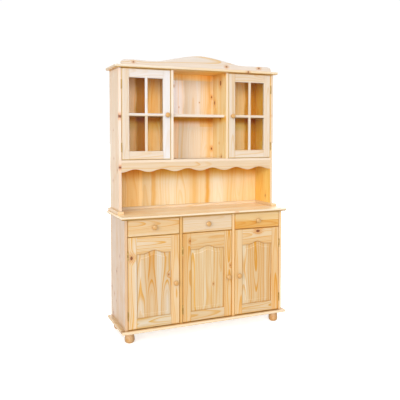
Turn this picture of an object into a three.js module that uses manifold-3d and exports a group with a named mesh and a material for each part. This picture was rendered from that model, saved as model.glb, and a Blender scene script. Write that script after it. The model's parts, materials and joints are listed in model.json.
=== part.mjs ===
// A two-part pine dresser: a cupboard base with drawers, and a glazed hutch standing on its worktop.
// Millimetres, Z up and X to the right. The front faces -Y, and the origin is on the floor under the middle.
import * as THREE from "three";
import { mergeVertices } from "three/addons/utils/BufferGeometryUtils.js";
import Module from "manifold-3d";

// Overall sizes
const CARCASE_WIDTH = 1150;
const BASE_DEPTH = 360;
const HUTCH_DEPTH = 232;
const BOARD = 18;
const EDGE_OVERHANG = 25;
const FOOT_HEIGHT = 73;
const CUPBOARD_HEIGHT = 710;
const WORKTOP_THICKNESS = 20;
const RECESS_HEIGHT = 335;
const HUTCH_CUPBOARD_HEIGHT = 600;
const BASE_MIDDLE_BAY = 368;
const HUTCH_MIDDLE_BAY = 392;

// Fits
const DOOR_GAP = 3;
const DRAWER_DOOR_GAP = 4;
const CLEARANCE = 0.3;
const OVERRUN = 5;

// Moulded edges
const OVOLO_RADIUS = 8;
const OVOLO_STEPS = 5;
const EASED_EDGE = 2;
const DOOR_EASE = 1.2;
const SILL_OVOLO = 6;

// Back panels
const BASE_BACK_THICKNESS = 6;
const HUTCH_BACK_THICKNESS = 9;
const REBATE = 9;
const BACK_BOARDS = 12;
const BACK_GROOVE_WIDTH = 2.4;
const BACK_GROOVE_DEPTH = 1.2;
const BACK_RAIL_HEIGHT = 18;

// Turned bun feet
const FOOT_INSET = 40;
const FOOT_RADIUS = 32.5;
const FOOT_SIDES = 32;
const FOOT_RADIUS_SHARES = [0.64, 0.8, 0.93, 0.99, 1, 0.97, 0.92, 0.88, 0.86, 0.9, 0.9];
const FOOT_LEVEL_SHARES = [0, 0.045, 0.13, 0.23, 0.35, 0.5, 0.65, 0.78, 0.88, 0.92, 1];

// Turned knobs
const KNOB_RADIUS = 17;
const KNOB_LENGTH = 27;
const KNOB_SIDES = 20;
const KNOB_RADIUS_SHARES = [0.62, 0.62, 0.46, 0.44, 0.6, 0.86, 0.98, 1, 0.93, 0.74, 0.42];
const KNOB_LENGTH_SHARES = [0, 0.08, 0.16, 0.34, 0.5, 0.6, 0.68, 0.76, 0.87, 0.95, 0.99];
const BASE_KNOB_DROP = 320;

// Drawers
const DRAWER_FRONT_HEIGHT = 106;
const DRAWER_BOX_HEIGHT = 88;
const DRAWER_BOX_DEPTH = 320;
const DRAWER_BOX_PLAY = 4;
const DRAWER_SIDE = 12;
const DRAWER_BOTTOM = 6;
const DRAWER_BOTTOM_RISE = 8;
const FRAME_RAIL = 45;
const FRAME_SETBACK = 1;

// Cupboard doors
const STILE = 58;
const BOTTOM_RAIL = 66;
const TOP_RAIL = 91;
const ARCH_WIDTH_SHARE = 0.61;
const ARCH_RISE_SHARE = 0.141;
const ARCH_STEPS = 20;
const STICKING = 4;
const STICKING_STEPS = 3;
const PANEL_TONGUE = 6;
const TONGUE_REACH = 8;
const GROOVE_REACH = 9;
const TONGUE_FROM_BACK = 6;
const BEVEL_WIDTH_SHARE = 0.116;
const BEVEL_RISE = 2.6;
const FIELD_SHOULDER = 1.8;

// Glazed doors
const GLAZED_STILE = 52;
const GLAZED_BOTTOM_RAIL = 55;
const GLAZED_TOP_RAIL = 59;
const GLAZING_BAR = 18;
const GLASS_THICKNESS = 3;
const GLASS_FROM_BACK = 5;
const GLASS_REACH = 5;
const GLASS_GROOVE = 6;

// Shelves
const HUTCH_SHELF_SETBACK = 24;
const BASE_SHELF_SETBACK = 60;
const BASE_SHELF_RISE = 290;

// Butt hinges
const HINGE_LENGTH = 60;
const KNUCKLE_RADIUS = 3.2;
const KNUCKLE_SIDES = 12;
const PIN_RADIUS = 1.2;
const PIN_CLEARANCE = 0.15;
const AXIS_PROUD = 3.7;
const LEAF_THICKNESS = 1.1;
const LEAF_WIDTH = 14;
const BASE_HINGE_DROP = 116;
const BASE_HINGE_RISE = 87;
const HUTCH_HINGE_DROP = 104;
const HUTCH_HINGE_RISE = 80;

// Scalloped apron
const APRON_DEPTH = 62;
const SCALLOPS = 6;
const SCALLOP_RISE = 19;
const SCALLOP_STEPS = 16;

// Serpentine pediment
const PEDIMENT_WIDTH = 1116;
const PEDIMENT_HEIGHT = 83;
const SHOULDER_HEIGHT = 36;
const SHOULDER_RUN = 53;
const DIP_HEIGHT = 33;
const DIP_OUT = 340;
const PEDIMENT_STEPS = 14;

// Sill blocks under the hutch sides
const SILL_HEIGHT = 21;
const SILL_FORWARD = 30;
const SILL_OUTWARD = 17;
const SILL_INWARD = 6;

// Levels worked out from the sizes above
const PLINTH_TOP = FOOT_HEIGHT + BOARD;
const WORKTOP_BOTTOM = PLINTH_TOP + CUPBOARD_HEIGHT;
const WORKTOP_TOP = WORKTOP_BOTTOM + WORKTOP_THICKNESS;
const FLOOR_BOTTOM = WORKTOP_TOP + RECESS_HEIGHT;
const FLOOR_TOP = FLOOR_BOTTOM + BOARD;
const CORNICE_BOTTOM = FLOOR_TOP + HUTCH_CUPBOARD_HEIGHT;
const CORNICE_TOP = CORNICE_BOTTOM + BOARD;
const BACK = (BASE_DEPTH + Math.max(EDGE_OVERHANG, KNOB_LENGTH)) / 2;
const BASE_FRONT = BACK - BASE_DEPTH;
const HUTCH_FRONT = BACK - HUTCH_DEPTH;
const OUTER = CARCASE_WIDTH / 2;
const INNER = OUTER - BOARD;
const DRAWER_TOP = WORKTOP_BOTTOM - DOOR_GAP;
const DRAWER_LOW = DRAWER_TOP - DRAWER_FRONT_HEIGHT;
const BASE_DOOR_LOW = PLINTH_TOP + DOOR_GAP;
const BASE_DOOR_TOP = DRAWER_LOW - DRAWER_DOOR_GAP;
const GLAZED_DOOR_LOW = FLOOR_TOP + DOOR_GAP;
const GLAZED_DOOR_TOP = CORNICE_BOTTOM - DOOR_GAP;
const GLASS_LOW = GLAZED_DOOR_LOW + GLAZED_BOTTOM_RAIL;
const GLASS_TOP = GLAZED_DOOR_TOP - GLAZED_TOP_RAIL;
const SHELF_LEVEL = (GLASS_LOW + GLASS_TOP - BOARD) / 2;
const BASE_SHELF_LEVEL = PLINTH_TOP + BASE_SHELF_RISE;
const FRAME_TOP = DRAWER_LOW + (BOARD - DRAWER_DOOR_GAP) / 2;
const BASE_BACK_FACE = BACK - BASE_BACK_THICKNESS;
const HUTCH_BACK_FACE = BACK - HUTCH_BACK_THICKNESS;

// The bays of the base and the two doors of the hutch, with the side that each door is hung on
const bayEdge = BASE_MIDDLE_BAY / 2;
const hutchBayEdge = HUTCH_MIDDLE_BAY / 2;
const baseBays = [
  { name: "left", left: -INNER, right: -bayEdge - BOARD, hung: -1 },
  { name: "middle", left: -bayEdge, right: bayEdge, hung: -1 },
  { name: "right", left: bayEdge + BOARD, right: INNER, hung: 1 },
];
const hutchBays = [
  { name: "left", left: -INNER, right: -hutchBayEdge - BOARD, hung: -1 },
  { name: "right", left: hutchBayEdge + BOARD, right: INNER, hung: 1 },
];

// One template shapes the arch and the bevel of all three cupboard doors, so it suits the narrowest of them
const panelOpenings = baseBays.map(({ left, right }) => right - left - 2 * (DOOR_GAP + STILE));
const narrowestOpening = Math.min(...panelOpenings);
const archWidth = ARCH_WIDTH_SHARE * narrowestOpening;
const archRise = ARCH_RISE_SHARE * archWidth;
const bevelWidth = BEVEL_WIDTH_SHARE * narrowestOpening;

const wasm = await Module();
wasm.setup();

// A closed three.js geometry as a solid for cutting and joining.
function solid(geometry) {
  const bare = geometry.clone();
  bare.deleteAttribute("normal");
  bare.deleteAttribute("uv");
  const merged = mergeVertices(bare);
  return new wasm.Manifold(
    new wasm.Mesh({
      numProp: 3,
      vertProperties: merged.attributes.position.array,
      triVerts: new Uint32Array(merged.index.array),
    }),
  );
}

// A cut or joined solid back as a three.js geometry.
function geometryOf(made) {
  const mesh = made.getMesh();
  const geometry = new THREE.BufferGeometry();
  geometry.setAttribute("position", new THREE.BufferAttribute(mesh.vertProperties, mesh.numProp));
  geometry.setIndex(new THREE.BufferAttribute(mesh.triVerts, 1));
  return geometry;
}

function cut(body, tools) {
  const rest = tools.reduce((left, tool) => left.subtract(solid(tool)), solid(body));
  return geometryOf(rest);
}

function join(bodies) {
  const [first, ...others] = bodies.map(solid);
  return geometryOf(others.reduce((whole, body) => whole.add(body), first));
}

// A box between two corners, given as [low, high] on each axis, in either order.
function box(x, y, z) {
  const spans = [x, y, z].map(([a, b]) => Math.abs(b - a));
  const middles = [x, y, z].map(([a, b]) => (a + b) / 2);
  return new THREE.BoxGeometry(...spans).translate(...middles);
}

// A closed skin through outlines with the same number of points, each at its own level along Z.
function loft(layers) {
  const count = layers[0].outline.length;
  const places = layers.flatMap(({ outline, level }) => outline.flatMap((p) => [p.x, p.y, level]));
  const faces = [];
  for (let layer = 0; layer < layers.length - 1; layer += 1) {
    for (let i = 0; i < count; i += 1) {
      const here = layer * count + i;
      const next = layer * count + ((i + 1) % count);
      faces.push(here, next, next + count, here, next + count, here + count);
    }
  }
  const top = (layers.length - 1) * count;
  THREE.ShapeUtils.triangulateShape(layers[0].outline, []).forEach(([a, b, c]) => faces.push(c, b, a));
  THREE.ShapeUtils.triangulateShape(layers.at(-1).outline, []).forEach(([a, b, c]) =>
    faces.push(top + a, top + b, top + c),
  );
  const geometry = new THREE.BufferGeometry();
  geometry.setAttribute("position", new THREE.Float32BufferAttribute(places, 3));
  geometry.setIndex(faces);
  return geometry;
}

// Stands a geometry up, so that what was its Y is up and what was its Z comes towards the front.
function upright(geometry, back) {
  return geometry.rotateX(Math.PI / 2).translate(0, back, 0);
}

function rectangle(left, right, low, high) {
  return [
    new THREE.Vector2(left, low),
    new THREE.Vector2(right, low),
    new THREE.Vector2(right, high),
    new THREE.Vector2(left, high),
  ];
}

// An anticlockwise outline moved outwards by a distance, or inwards by a negative one.
function grown(outline, distance) {
  return outline.map((point, i) => {
    const before = outline.at(i - 1);
    const after = outline[(i + 1) % outline.length];
    const arriving = point.clone().sub(before).normalize();
    const leaving = after.clone().sub(point).normalize();
    const outward = new THREE.Vector2(arriving.y + leaving.y, -arriving.x - leaving.x).normalize();
    const reach = distance / (outward.x * leaving.y - outward.y * leaving.x);
    return point.clone().addScaledVector(outward, reach);
  });
}

// A quarter round under an edge and a small chamfer on top, as insets at rising levels.
function ovoloProfile(thickness, radius) {
  const profile = [];
  for (let step = 0; step <= OVOLO_STEPS; step += 1) {
    const angle = (step / OVOLO_STEPS) * (Math.PI / 2);
    profile.push({ inset: radius * (1 - Math.sin(angle)), level: radius * (1 - Math.cos(angle)) });
  }
  profile.push({ inset: 0, level: thickness - EASED_EDGE });
  profile.push({ inset: EASED_EDGE, level: thickness });
  return profile;
}

function turnedOver(profile, thickness) {
  return profile.map(({ inset, level }) => ({ inset, level: thickness - level })).reverse();
}

// A board with its profile on the front and both ends, and a square back edge.
function mouldedBoard(halfWidth, front, bottom, profile) {
  const layers = profile.map(({ inset, level }) => ({
    outline: rectangle(-halfWidth + inset, halfWidth - inset, front + inset, BACK),
    level: bottom + level,
  }));
  return loft(layers);
}

// An upright board whose front edges are eased all round.
function easedPlate(outline, back, thickness, ease) {
  const layers = [
    { outline, level: 0 },
    { outline, level: thickness - ease },
    { outline: grown(outline, -ease), level: thickness },
  ];
  return upright(loft(layers), back);
}

// A cutter through a board that leaves a rounded moulding on the front of the opening.
function mouldedOpening(outline, front, back) {
  const layers = [{ outline, level: -OVERRUN }];
  for (let step = 0; step <= STICKING_STEPS; step += 1) {
    const angle = (step / STICKING_STEPS) * (Math.PI / 2);
    layers.push({
      outline: grown(outline, STICKING * (1 - Math.cos(angle))),
      level: back - front - STICKING * (1 - Math.sin(angle)),
    });
  }
  layers.push({ outline: grown(outline, STICKING), level: back - front + OVERRUN });
  return upright(loft(layers), back);
}

function straightOpening(outline, front, back) {
  const layers = [
    { outline, level: 0 },
    { outline, level: back - front },
  ];
  return upright(loft(layers), back);
}

function turned(radius, radiusShares, length, lengthShares, sides) {
  const profile = radiusShares.map((share, i) => new THREE.Vector2(share * radius, lengthShares[i] * length));
  profile.unshift(new THREE.Vector2(0, profile[0].y));
  profile.push(new THREE.Vector2(0, length));
  return new THREE.LatheGeometry(profile, sides);
}

// Butt hinges: where each door's pin stands, and the pieces that are laid out round it
function hingeLine(bay, front) {
  const edge = bay.hung < 0 ? bay.left : bay.right;
  return { x: edge - (bay.hung * DOOR_GAP) / 2, y: front - AXIS_PROUD, side: bay.hung };
}

function baseHingeHeights() {
  return { upper: BASE_DOOR_TOP - BASE_HINGE_DROP, lower: BASE_DOOR_LOW + BASE_HINGE_RISE };
}

function glazedHingeHeights() {
  return { upper: GLAZED_DOOR_TOP - HUTCH_HINGE_DROP, lower: GLAZED_DOOR_LOW + HUTCH_HINGE_RISE };
}

function rod(radius, line, low, high) {
  const geometry = new THREE.CylinderGeometry(radius, radius, high - low, KNUCKLE_SIDES);
  return geometry.rotateX(Math.PI / 2).translate(line.x, line.y, (low + high) / 2);
}

// The flat of a leaf on one side of the pin, between two depths behind the pin's centre.
function leafPlate(line, side, nearDepth, farDepth, low, high) {
  const inner = line.x + (side * DOOR_GAP) / 2;
  return box([inner, inner + side * LEAF_THICKNESS], [line.y + nearDepth, line.y + farDepth], [low, high]);
}

function carcaseLeaf(line, height) {
  const low = height - HINGE_LENGTH / 2;
  const high = height + HINGE_LENGTH / 2;
  const third = HINGE_LENGTH / 3;
  const far = AXIS_PROUD + LEAF_WIDTH;
  return join([
    rod(KNUCKLE_RADIUS, line, low, low + third),
    rod(KNUCKLE_RADIUS, line, high - third, high),
    rod(PIN_RADIUS, line, low, high),
    leafPlate(line, line.side, 0, far, low, low + third),
    leafPlate(line, line.side, 0, far, high - third, high),
    leafPlate(line, line.side, AXIS_PROUD, far, low, high),
  ]);
}

function leafPocket(line, height) {
  const inner = line.x + (line.side * DOOR_GAP) / 2;
  const floor = inner + line.side * (LEAF_THICKNESS + CLEARANCE);
  const reach = HINGE_LENGTH / 2 + CLEARANCE;
  return box(
    [inner - line.side * OVERRUN, floor],
    [line.y, line.y + AXIS_PROUD + LEAF_WIDTH + CLEARANCE],
    [height - reach, height + reach],
  );
}

function leafPockets(line, heights) {
  return [leafPocket(line, heights.upper), leafPocket(line, heights.lower)];
}

// The door's own leaf with the middle knuckle, bored for the pin.
function doorLeaf(line, height) {
  const half = HINGE_LENGTH / 6 - CLEARANCE;
  const span = [height - half, height + half];
  const ring = rod(KNUCKLE_RADIUS, line, ...span);
  const plate = leafPlate(line, -line.side, 0, AXIS_PROUD + LEAF_WIDTH, ...span);
  const bore = rod(PIN_RADIUS + PIN_CLEARANCE, line, span[0] - OVERRUN, span[1] + OVERRUN);
  return cut(join([ring, plate]), [bore]);
}

function hang(doorFrame, line, heights) {
  return join([doorFrame, doorLeaf(line, heights.upper), doorLeaf(line, heights.lower)]);
}

// Base carcase
function baseSide(side) {
  const board = box([side * INNER, side * OUTER], [BASE_FRONT, BACK], [PLINTH_TOP, WORKTOP_BOTTOM]);
  const rebate = box(
    [side * (INNER - OVERRUN), side * (INNER + REBATE)],
    [BASE_BACK_FACE, BACK + OVERRUN],
    [PLINTH_TOP - OVERRUN, WORKTOP_BOTTOM + OVERRUN],
  );
  const bay = side < 0 ? baseBays[0] : baseBays[2];
  return cut(board, [rebate, ...leafPockets(hingeLine(bay, BASE_FRONT), baseHingeHeights())]);
}

// Where a divider and a shelf or frame cross, each is notched over half of their shared depth.
function crossing(shelfFront, shelfBack) {
  return (shelfFront + shelfBack) / 2;
}

function dividerSlot(x, from, to, level) {
  return box([x - BOARD, x + BOARD], [from, to + OVERRUN], [level, level + BOARD + CLEARANCE]);
}

function shelfNotch(x, from, to, level) {
  const half = BOARD / 2 + CLEARANCE;
  return box([x - half, x + half], [from - OVERRUN, to + CLEARANCE], [level - OVERRUN, level + BOARD + OVERRUN]);
}

const baseDividerX = (BASE_MIDDLE_BAY + BOARD) / 2;
const frameFront = BASE_FRONT + BOARD + FRAME_SETBACK;
const frameCrossing = crossing(frameFront, frameFront + FRAME_RAIL);
const baseShelfFront = BASE_FRONT + BASE_SHELF_SETBACK;
const baseShelfCrossing = crossing(baseShelfFront, BASE_BACK_FACE);

function baseDivider(side) {
  const x = side * baseDividerX;
  const half = BOARD / 2;
  const board = box([x - half, x + half], [BASE_FRONT, BASE_BACK_FACE], [PLINTH_TOP, WORKTOP_BOTTOM]);
  const slots = [
    dividerSlot(x, frameCrossing, BASE_BACK_FACE, FRAME_TOP - BOARD),
    dividerSlot(x, baseShelfCrossing, BASE_BACK_FACE, BASE_SHELF_LEVEL),
  ];
  const pockets = side < 0 ? leafPockets(hingeLine(baseBays[1], BASE_FRONT), baseHingeHeights()) : [];
  return cut(board, [...slots, ...pockets]);
}

function plinthBoard() {
  const profile = turnedOver(ovoloProfile(BOARD, OVOLO_RADIUS), BOARD);
  return mouldedBoard(OUTER + EDGE_OVERHANG, BASE_FRONT - EDGE_OVERHANG, FOOT_HEIGHT, profile);
}

function worktop() {
  const profile = ovoloProfile(WORKTOP_THICKNESS, OVOLO_RADIUS);
  return mouldedBoard(OUTER + EDGE_OVERHANG, BASE_FRONT - EDGE_OVERHANG, WORKTOP_BOTTOM, profile);
}

function baseBackPanel() {
  const half = INNER + REBATE - CLEARANCE;
  return box([-half, half], [BASE_BACK_FACE, BACK], [PLINTH_TOP, WORKTOP_BOTTOM]);
}

// One flat frame under all three drawers: a front rail, a back rail and the runners between them.
function drawerFrame() {
  const low = FRAME_TOP - BOARD;
  const through = [low - OVERRUN, FRAME_TOP + OVERRUN];
  const gaps = baseBays.map(({ left, right }) =>
    box(
      [left + FRAME_RAIL, right - FRAME_RAIL],
      [frameFront + FRAME_RAIL, BASE_BACK_FACE - FRAME_RAIL],
      through,
    ),
  );
  const notches = [-1, 1].map((side) => shelfNotch(side * baseDividerX, frameFront, frameCrossing, low));
  return cut(box([-INNER, INNER], [frameFront, BASE_BACK_FACE], [low, FRAME_TOP]), [...gaps, ...notches]);
}

function baseShelf() {
  const board = box(
    [-INNER, INNER],
    [baseShelfFront, BASE_BACK_FACE],
    [BASE_SHELF_LEVEL, BASE_SHELF_LEVEL + BOARD],
  );
  const notches = [-1, 1].map((side) =>
    shelfNotch(side * baseDividerX, baseShelfFront, baseShelfCrossing, BASE_SHELF_LEVEL),
  );
  return cut(board, notches);
}

function bunFoot(x, y) {
  const foot = turned(FOOT_RADIUS, FOOT_RADIUS_SHARES, FOOT_HEIGHT, FOOT_LEVEL_SHARES, FOOT_SIDES);
  return foot.rotateX(Math.PI / 2).translate(x, y, 0);
}

// A knob's axis runs forwards from the face that it is fixed to.
function knob(x, face, z) {
  const body = turned(KNOB_RADIUS, KNOB_RADIUS_SHARES, KNOB_LENGTH, KNOB_LENGTH_SHARES, KNOB_SIDES);
  return body.rotateX(Math.PI).translate(x, face, z);
}

// Drawers
function drawerFront(bay) {
  const outline = rectangle(bay.left + DOOR_GAP, bay.right - DOOR_GAP, DRAWER_LOW, DRAWER_TOP);
  return easedPlate(outline, BASE_FRONT + BOARD, BOARD, DOOR_EASE);
}

function drawerBox(bay) {
  const left = bay.left + DRAWER_BOX_PLAY;
  const right = bay.right - DRAWER_BOX_PLAY;
  const front = BASE_FRONT + BOARD;
  const back = front + DRAWER_BOX_DEPTH;
  const low = FRAME_TOP + CLEARANCE;
  const high = low + DRAWER_BOX_HEIGHT;
  const inside = [left + DRAWER_SIDE, right - DRAWER_SIDE];
  const length = [front - OVERRUN, back - DRAWER_SIDE];
  const hollow = box(inside, length, [low + DRAWER_BOTTOM_RISE + DRAWER_BOTTOM, high + OVERRUN]);
  const under = box(inside, length, [low - OVERRUN, low + DRAWER_BOTTOM_RISE]);
  return cut(box([left, right], [front, back], [low, high]), [hollow, under]);
}

// Cupboard doors
function doorOutline(bay, low, high) {
  return rectangle(bay.left + DOOR_GAP, bay.right - DOOR_GAP, low, high);
}

// The panel opening: level shoulders with a low ogee arch between them, anticlockwise from bottom left.
function archedOutline(bay) {
  const left = bay.left + DOOR_GAP + STILE;
  const right = bay.right - DOOR_GAP - STILE;
  const middle = (left + right) / 2;
  const shoulder = BASE_DOOR_TOP - TOP_RAIL - archRise;
  const outline = [
    new THREE.Vector2(left, BASE_DOOR_LOW + BOTTOM_RAIL),
    new THREE.Vector2(right, BASE_DOOR_LOW + BOTTOM_RAIL),
    new THREE.Vector2(right, shoulder),
  ];
  for (let step = 0; step <= ARCH_STEPS; step += 1) {
    const along = step / ARCH_STEPS;
    const lift = (archRise * (1 - Math.cos(2 * Math.PI * along))) / 2;
    outline.push(new THREE.Vector2(middle + archWidth / 2 - along * archWidth, shoulder + lift));
  }
  outline.push(new THREE.Vector2(left, shoulder));
  return outline;
}

function baseDoorFrame(bay) {
  const back = BASE_FRONT + BOARD;
  const outline = archedOutline(bay);
  const plate = easedPlate(doorOutline(bay, BASE_DOOR_LOW, BASE_DOOR_TOP), back, BOARD, DOOR_EASE);
  const grooveBack = back - TONGUE_FROM_BACK;
  const grooveFront = grooveBack - PANEL_TONGUE - CLEARANCE;
  const frame = cut(plate, [
    mouldedOpening(outline, BASE_FRONT, back),
    straightOpening(grown(outline, GROOVE_REACH), grooveFront, grooveBack),
  ]);
  return hang(frame, hingeLine(bay, BASE_FRONT), baseHingeHeights());
}

// A raised and fielded panel: a tongue all round, a sloping bevel, a small shoulder and a flat field.
function baseDoorPanel(bay) {
  const outline = archedOutline(bay);
  const tongue = grown(outline, TONGUE_REACH);
  const layers = [
    { outline: tongue, level: 0 },
    { outline: tongue, level: PANEL_TONGUE - EASED_EDGE / 2 },
    { outline: grown(outline, -EASED_EDGE), level: PANEL_TONGUE },
    { outline: grown(outline, -bevelWidth), level: PANEL_TONGUE + BEVEL_RISE },
    { outline: grown(outline, -bevelWidth - EASED_EDGE / 2), level: PANEL_TONGUE + BEVEL_RISE + FIELD_SHOULDER },
  ];
  return upright(loft(layers), BASE_FRONT + BOARD - TONGUE_FROM_BACK);
}

function stileMiddle(bay, stile) {
  return bay.hung < 0 ? bay.right - DOOR_GAP - stile / 2 : bay.left + DOOR_GAP + stile / 2;
}

// Glazed doors: four panes, cut in two columns and two rows round the glazing bars
function paneOutlines(bay) {
  const left = bay.left + DOOR_GAP + GLAZED_STILE;
  const right = bay.right - DOOR_GAP - GLAZED_STILE;
  const columns = [
    [left, (left + right - GLAZING_BAR) / 2],
    [(left + right + GLAZING_BAR) / 2, right],
  ];
  const rows = [
    [GLASS_LOW, (GLASS_LOW + GLASS_TOP - GLAZING_BAR) / 2],
    [(GLASS_LOW + GLASS_TOP + GLAZING_BAR) / 2, GLASS_TOP],
  ];
  return columns.flatMap((column) => rows.map((row) => rectangle(...column, ...row)));
}

function glassOutline(bay) {
  const left = bay.left + DOOR_GAP + GLAZED_STILE;
  const right = bay.right - DOOR_GAP - GLAZED_STILE;
  return rectangle(left, right, GLASS_LOW, GLASS_TOP);
}

const glazedBack = HUTCH_FRONT + BOARD;
const glassBack = glazedBack - GLASS_FROM_BACK;
const glassFront = glassBack - GLASS_THICKNESS;

function glazedDoorFrame(bay) {
  const plate = easedPlate(doorOutline(bay, GLAZED_DOOR_LOW, GLAZED_DOOR_TOP), glazedBack, BOARD, DOOR_EASE);
  const panes = paneOutlines(bay).map((outline) => mouldedOpening(outline, HUTCH_FRONT, glassFront));
  const frame = cut(plate, [
    ...panes,
    straightOpening(grown(glassOutline(bay), GLASS_GROOVE), glassFront, glassBack + CLEARANCE),
    straightOpening(glassOutline(bay), glassFront, glazedBack + OVERRUN),
  ]);
  return hang(frame, hingeLine(bay, HUTCH_FRONT), glazedHingeHeights());
}

function glazedDoorGlass(bay) {
  return straightOpening(grown(glassOutline(bay), GLASS_REACH), glassFront, glassBack);
}

// Hutch
function hutchSide(side) {
  const board = box(
    [side * INNER, side * OUTER],
    [HUTCH_FRONT, BACK],
    [WORKTOP_TOP + SILL_HEIGHT, CORNICE_BOTTOM],
  );
  const rebate = box(
    [side * (INNER - OVERRUN), side * (INNER + REBATE)],
    [HUTCH_BACK_FACE, BACK + OVERRUN],
    [WORKTOP_TOP, CORNICE_BOTTOM + OVERRUN],
  );
  const bay = side < 0 ? hutchBays[0] : hutchBays[1];
  return cut(board, [rebate, ...leafPockets(hingeLine(bay, HUTCH_FRONT), glazedHingeHeights())]);
}

const hutchDividerX = (HUTCH_MIDDLE_BAY + BOARD) / 2;
const hutchShelfFront = HUTCH_FRONT + HUTCH_SHELF_SETBACK;
const hutchShelfCrossing = crossing(hutchShelfFront, HUTCH_BACK_FACE);

function hutchDivider(side) {
  const x = side * hutchDividerX;
  const half = BOARD / 2;
  const board = box([x - half, x + half], [HUTCH_FRONT, HUTCH_BACK_FACE], [FLOOR_TOP, CORNICE_BOTTOM]);
  return cut(board, [dividerSlot(x, hutchShelfCrossing, HUTCH_BACK_FACE, SHELF_LEVEL)]);
}

function hutchFloor() {
  return box([-INNER, INNER], [HUTCH_FRONT, HUTCH_BACK_FACE], [FLOOR_BOTTOM, FLOOR_TOP]);
}

function hutchShelf() {
  const board = box([-INNER, INNER], [hutchShelfFront, HUTCH_BACK_FACE], [SHELF_LEVEL, SHELF_LEVEL + BOARD]);
  const notches = [-1, 1].map((side) =>
    shelfNotch(side * hutchDividerX, hutchShelfFront, hutchShelfCrossing, SHELF_LEVEL),
  );
  return cut(board, notches);
}

// Vertical boards with a V groove on the front at every joint.
function hutchBackPanel() {
  const half = INNER + REBATE - CLEARANCE;
  const panel = box([-half, half], [HUTCH_BACK_FACE, BACK], [WORKTOP_TOP, CORNICE_BOTTOM]);
  const pitch = (2 * half) / BACK_BOARDS;
  const grooves = [];
  for (let joint = 1; joint < BACK_BOARDS; joint += 1) {
    const x = -half + joint * pitch;
    const vee = [
      new THREE.Vector2(x - BACK_GROOVE_WIDTH, HUTCH_BACK_FACE - BACK_GROOVE_DEPTH),
      new THREE.Vector2(x + BACK_GROOVE_WIDTH, HUTCH_BACK_FACE - BACK_GROOVE_DEPTH),
      new THREE.Vector2(x, HUTCH_BACK_FACE + BACK_GROOVE_DEPTH),
    ];
    grooves.push(
      loft([
        { outline: vee, level: WORKTOP_TOP - OVERRUN },
        { outline: vee, level: CORNICE_BOTTOM + OVERRUN },
      ]),
    );
  }
  return cut(panel, grooves);
}

function backRail() {
  const half = INNER - SILL_INWARD - CLEARANCE;
  return box(
    [-half, half],
    [HUTCH_BACK_FACE - BOARD, HUTCH_BACK_FACE],
    [WORKTOP_TOP, WORKTOP_TOP + BACK_RAIL_HEIGHT],
  );
}

function corniceBoard() {
  const profile = ovoloProfile(BOARD, OVOLO_RADIUS);
  return mouldedBoard(OUTER + EDGE_OVERHANG, HUTCH_FRONT - EDGE_OVERHANG, CORNICE_BOTTOM, profile);
}

// The serpentine board: round shoulders, a long shallow dip on each side and a high middle.
function pediment() {
  const end = PEDIMENT_WIDTH / 2;
  const shoulder = end - SHOULDER_RUN;
  const shape = new THREE.Shape();
  shape.moveTo(-end, 0);
  shape.lineTo(end, 0);
  for (const side of [1, -1]) {
    const sweep = [
      [[end, 0], [end, SHOULDER_HEIGHT], [end - SHOULDER_RUN / 3, SHOULDER_HEIGHT], [shoulder, SHOULDER_HEIGHT]],
      [
        [shoulder, SHOULDER_HEIGHT],
        [shoulder - SHOULDER_RUN, SHOULDER_HEIGHT],
        [DIP_OUT + SHOULDER_RUN, DIP_HEIGHT],
        [DIP_OUT, DIP_HEIGHT],
      ],
      [
        [DIP_OUT, DIP_HEIGHT],
        [DIP_OUT - (DIP_OUT - SHOULDER_RUN) / 3, DIP_HEIGHT],
        [(DIP_OUT + SHOULDER_RUN) / 3, PEDIMENT_HEIGHT],
        [0, PEDIMENT_HEIGHT],
      ],
    ];
    const spans = side > 0 ? sweep : sweep.map((span) => [...span].reverse()).reverse();
    for (const [, first, second, to] of spans) {
      shape.bezierCurveTo(side * first[0], first[1], side * second[0], second[1], side * to[0], to[1]);
    }
  }
  const board = new THREE.ExtrudeGeometry(shape, {
    depth: BOARD,
    bevelEnabled: false,
    curveSegments: PEDIMENT_STEPS,
  });
  return upright(board, HUTCH_FRONT + BOARD).translate(0, 0, CORNICE_TOP);
}

// The apron's lower edge is a wave that starts and ends low at the hutch sides.
function apron() {
  const shape = new THREE.Shape();
  shape.moveTo(INNER, FLOOR_BOTTOM);
  shape.lineTo(-INNER, FLOOR_BOTTOM);
  const steps = SCALLOPS * SCALLOP_STEPS;
  for (let step = 0; step <= steps; step += 1) {
    const along = step / steps;
    const lift = (SCALLOP_RISE * (1 - Math.cos(2 * Math.PI * SCALLOPS * along))) / 2;
    shape.lineTo(-INNER + along * 2 * INNER, FLOOR_BOTTOM - APRON_DEPTH + lift);
  }
  const board = new THREE.ExtrudeGeometry(shape, { depth: BOARD, bevelEnabled: false });
  return upright(board, HUTCH_FRONT + BOARD);
}

function sillBlock(side) {
  const outer = side * (OUTER + SILL_OUTWARD);
  const inner = side * (INNER - SILL_INWARD);
  const front = HUTCH_FRONT - SILL_FORWARD;
  const layers = turnedOver(ovoloProfile(SILL_HEIGHT, SILL_OVOLO), SILL_HEIGHT).map(({ inset, level }) => ({
    outline: rectangle(Math.min(outer, inner) + inset, Math.max(outer, inner) - inset, front + inset, BACK),
    level: WORKTOP_TOP + level,
  }));
  const panelHalf = INNER + REBATE;
  const panel = box(
    [-panelHalf, panelHalf],
    [HUTCH_BACK_FACE - CLEARANCE, BACK + OVERRUN],
    [WORKTOP_TOP - OVERRUN, WORKTOP_TOP + SILL_HEIGHT + OVERRUN],
  );
  return cut(loft(layers), [panel]);
}

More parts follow.
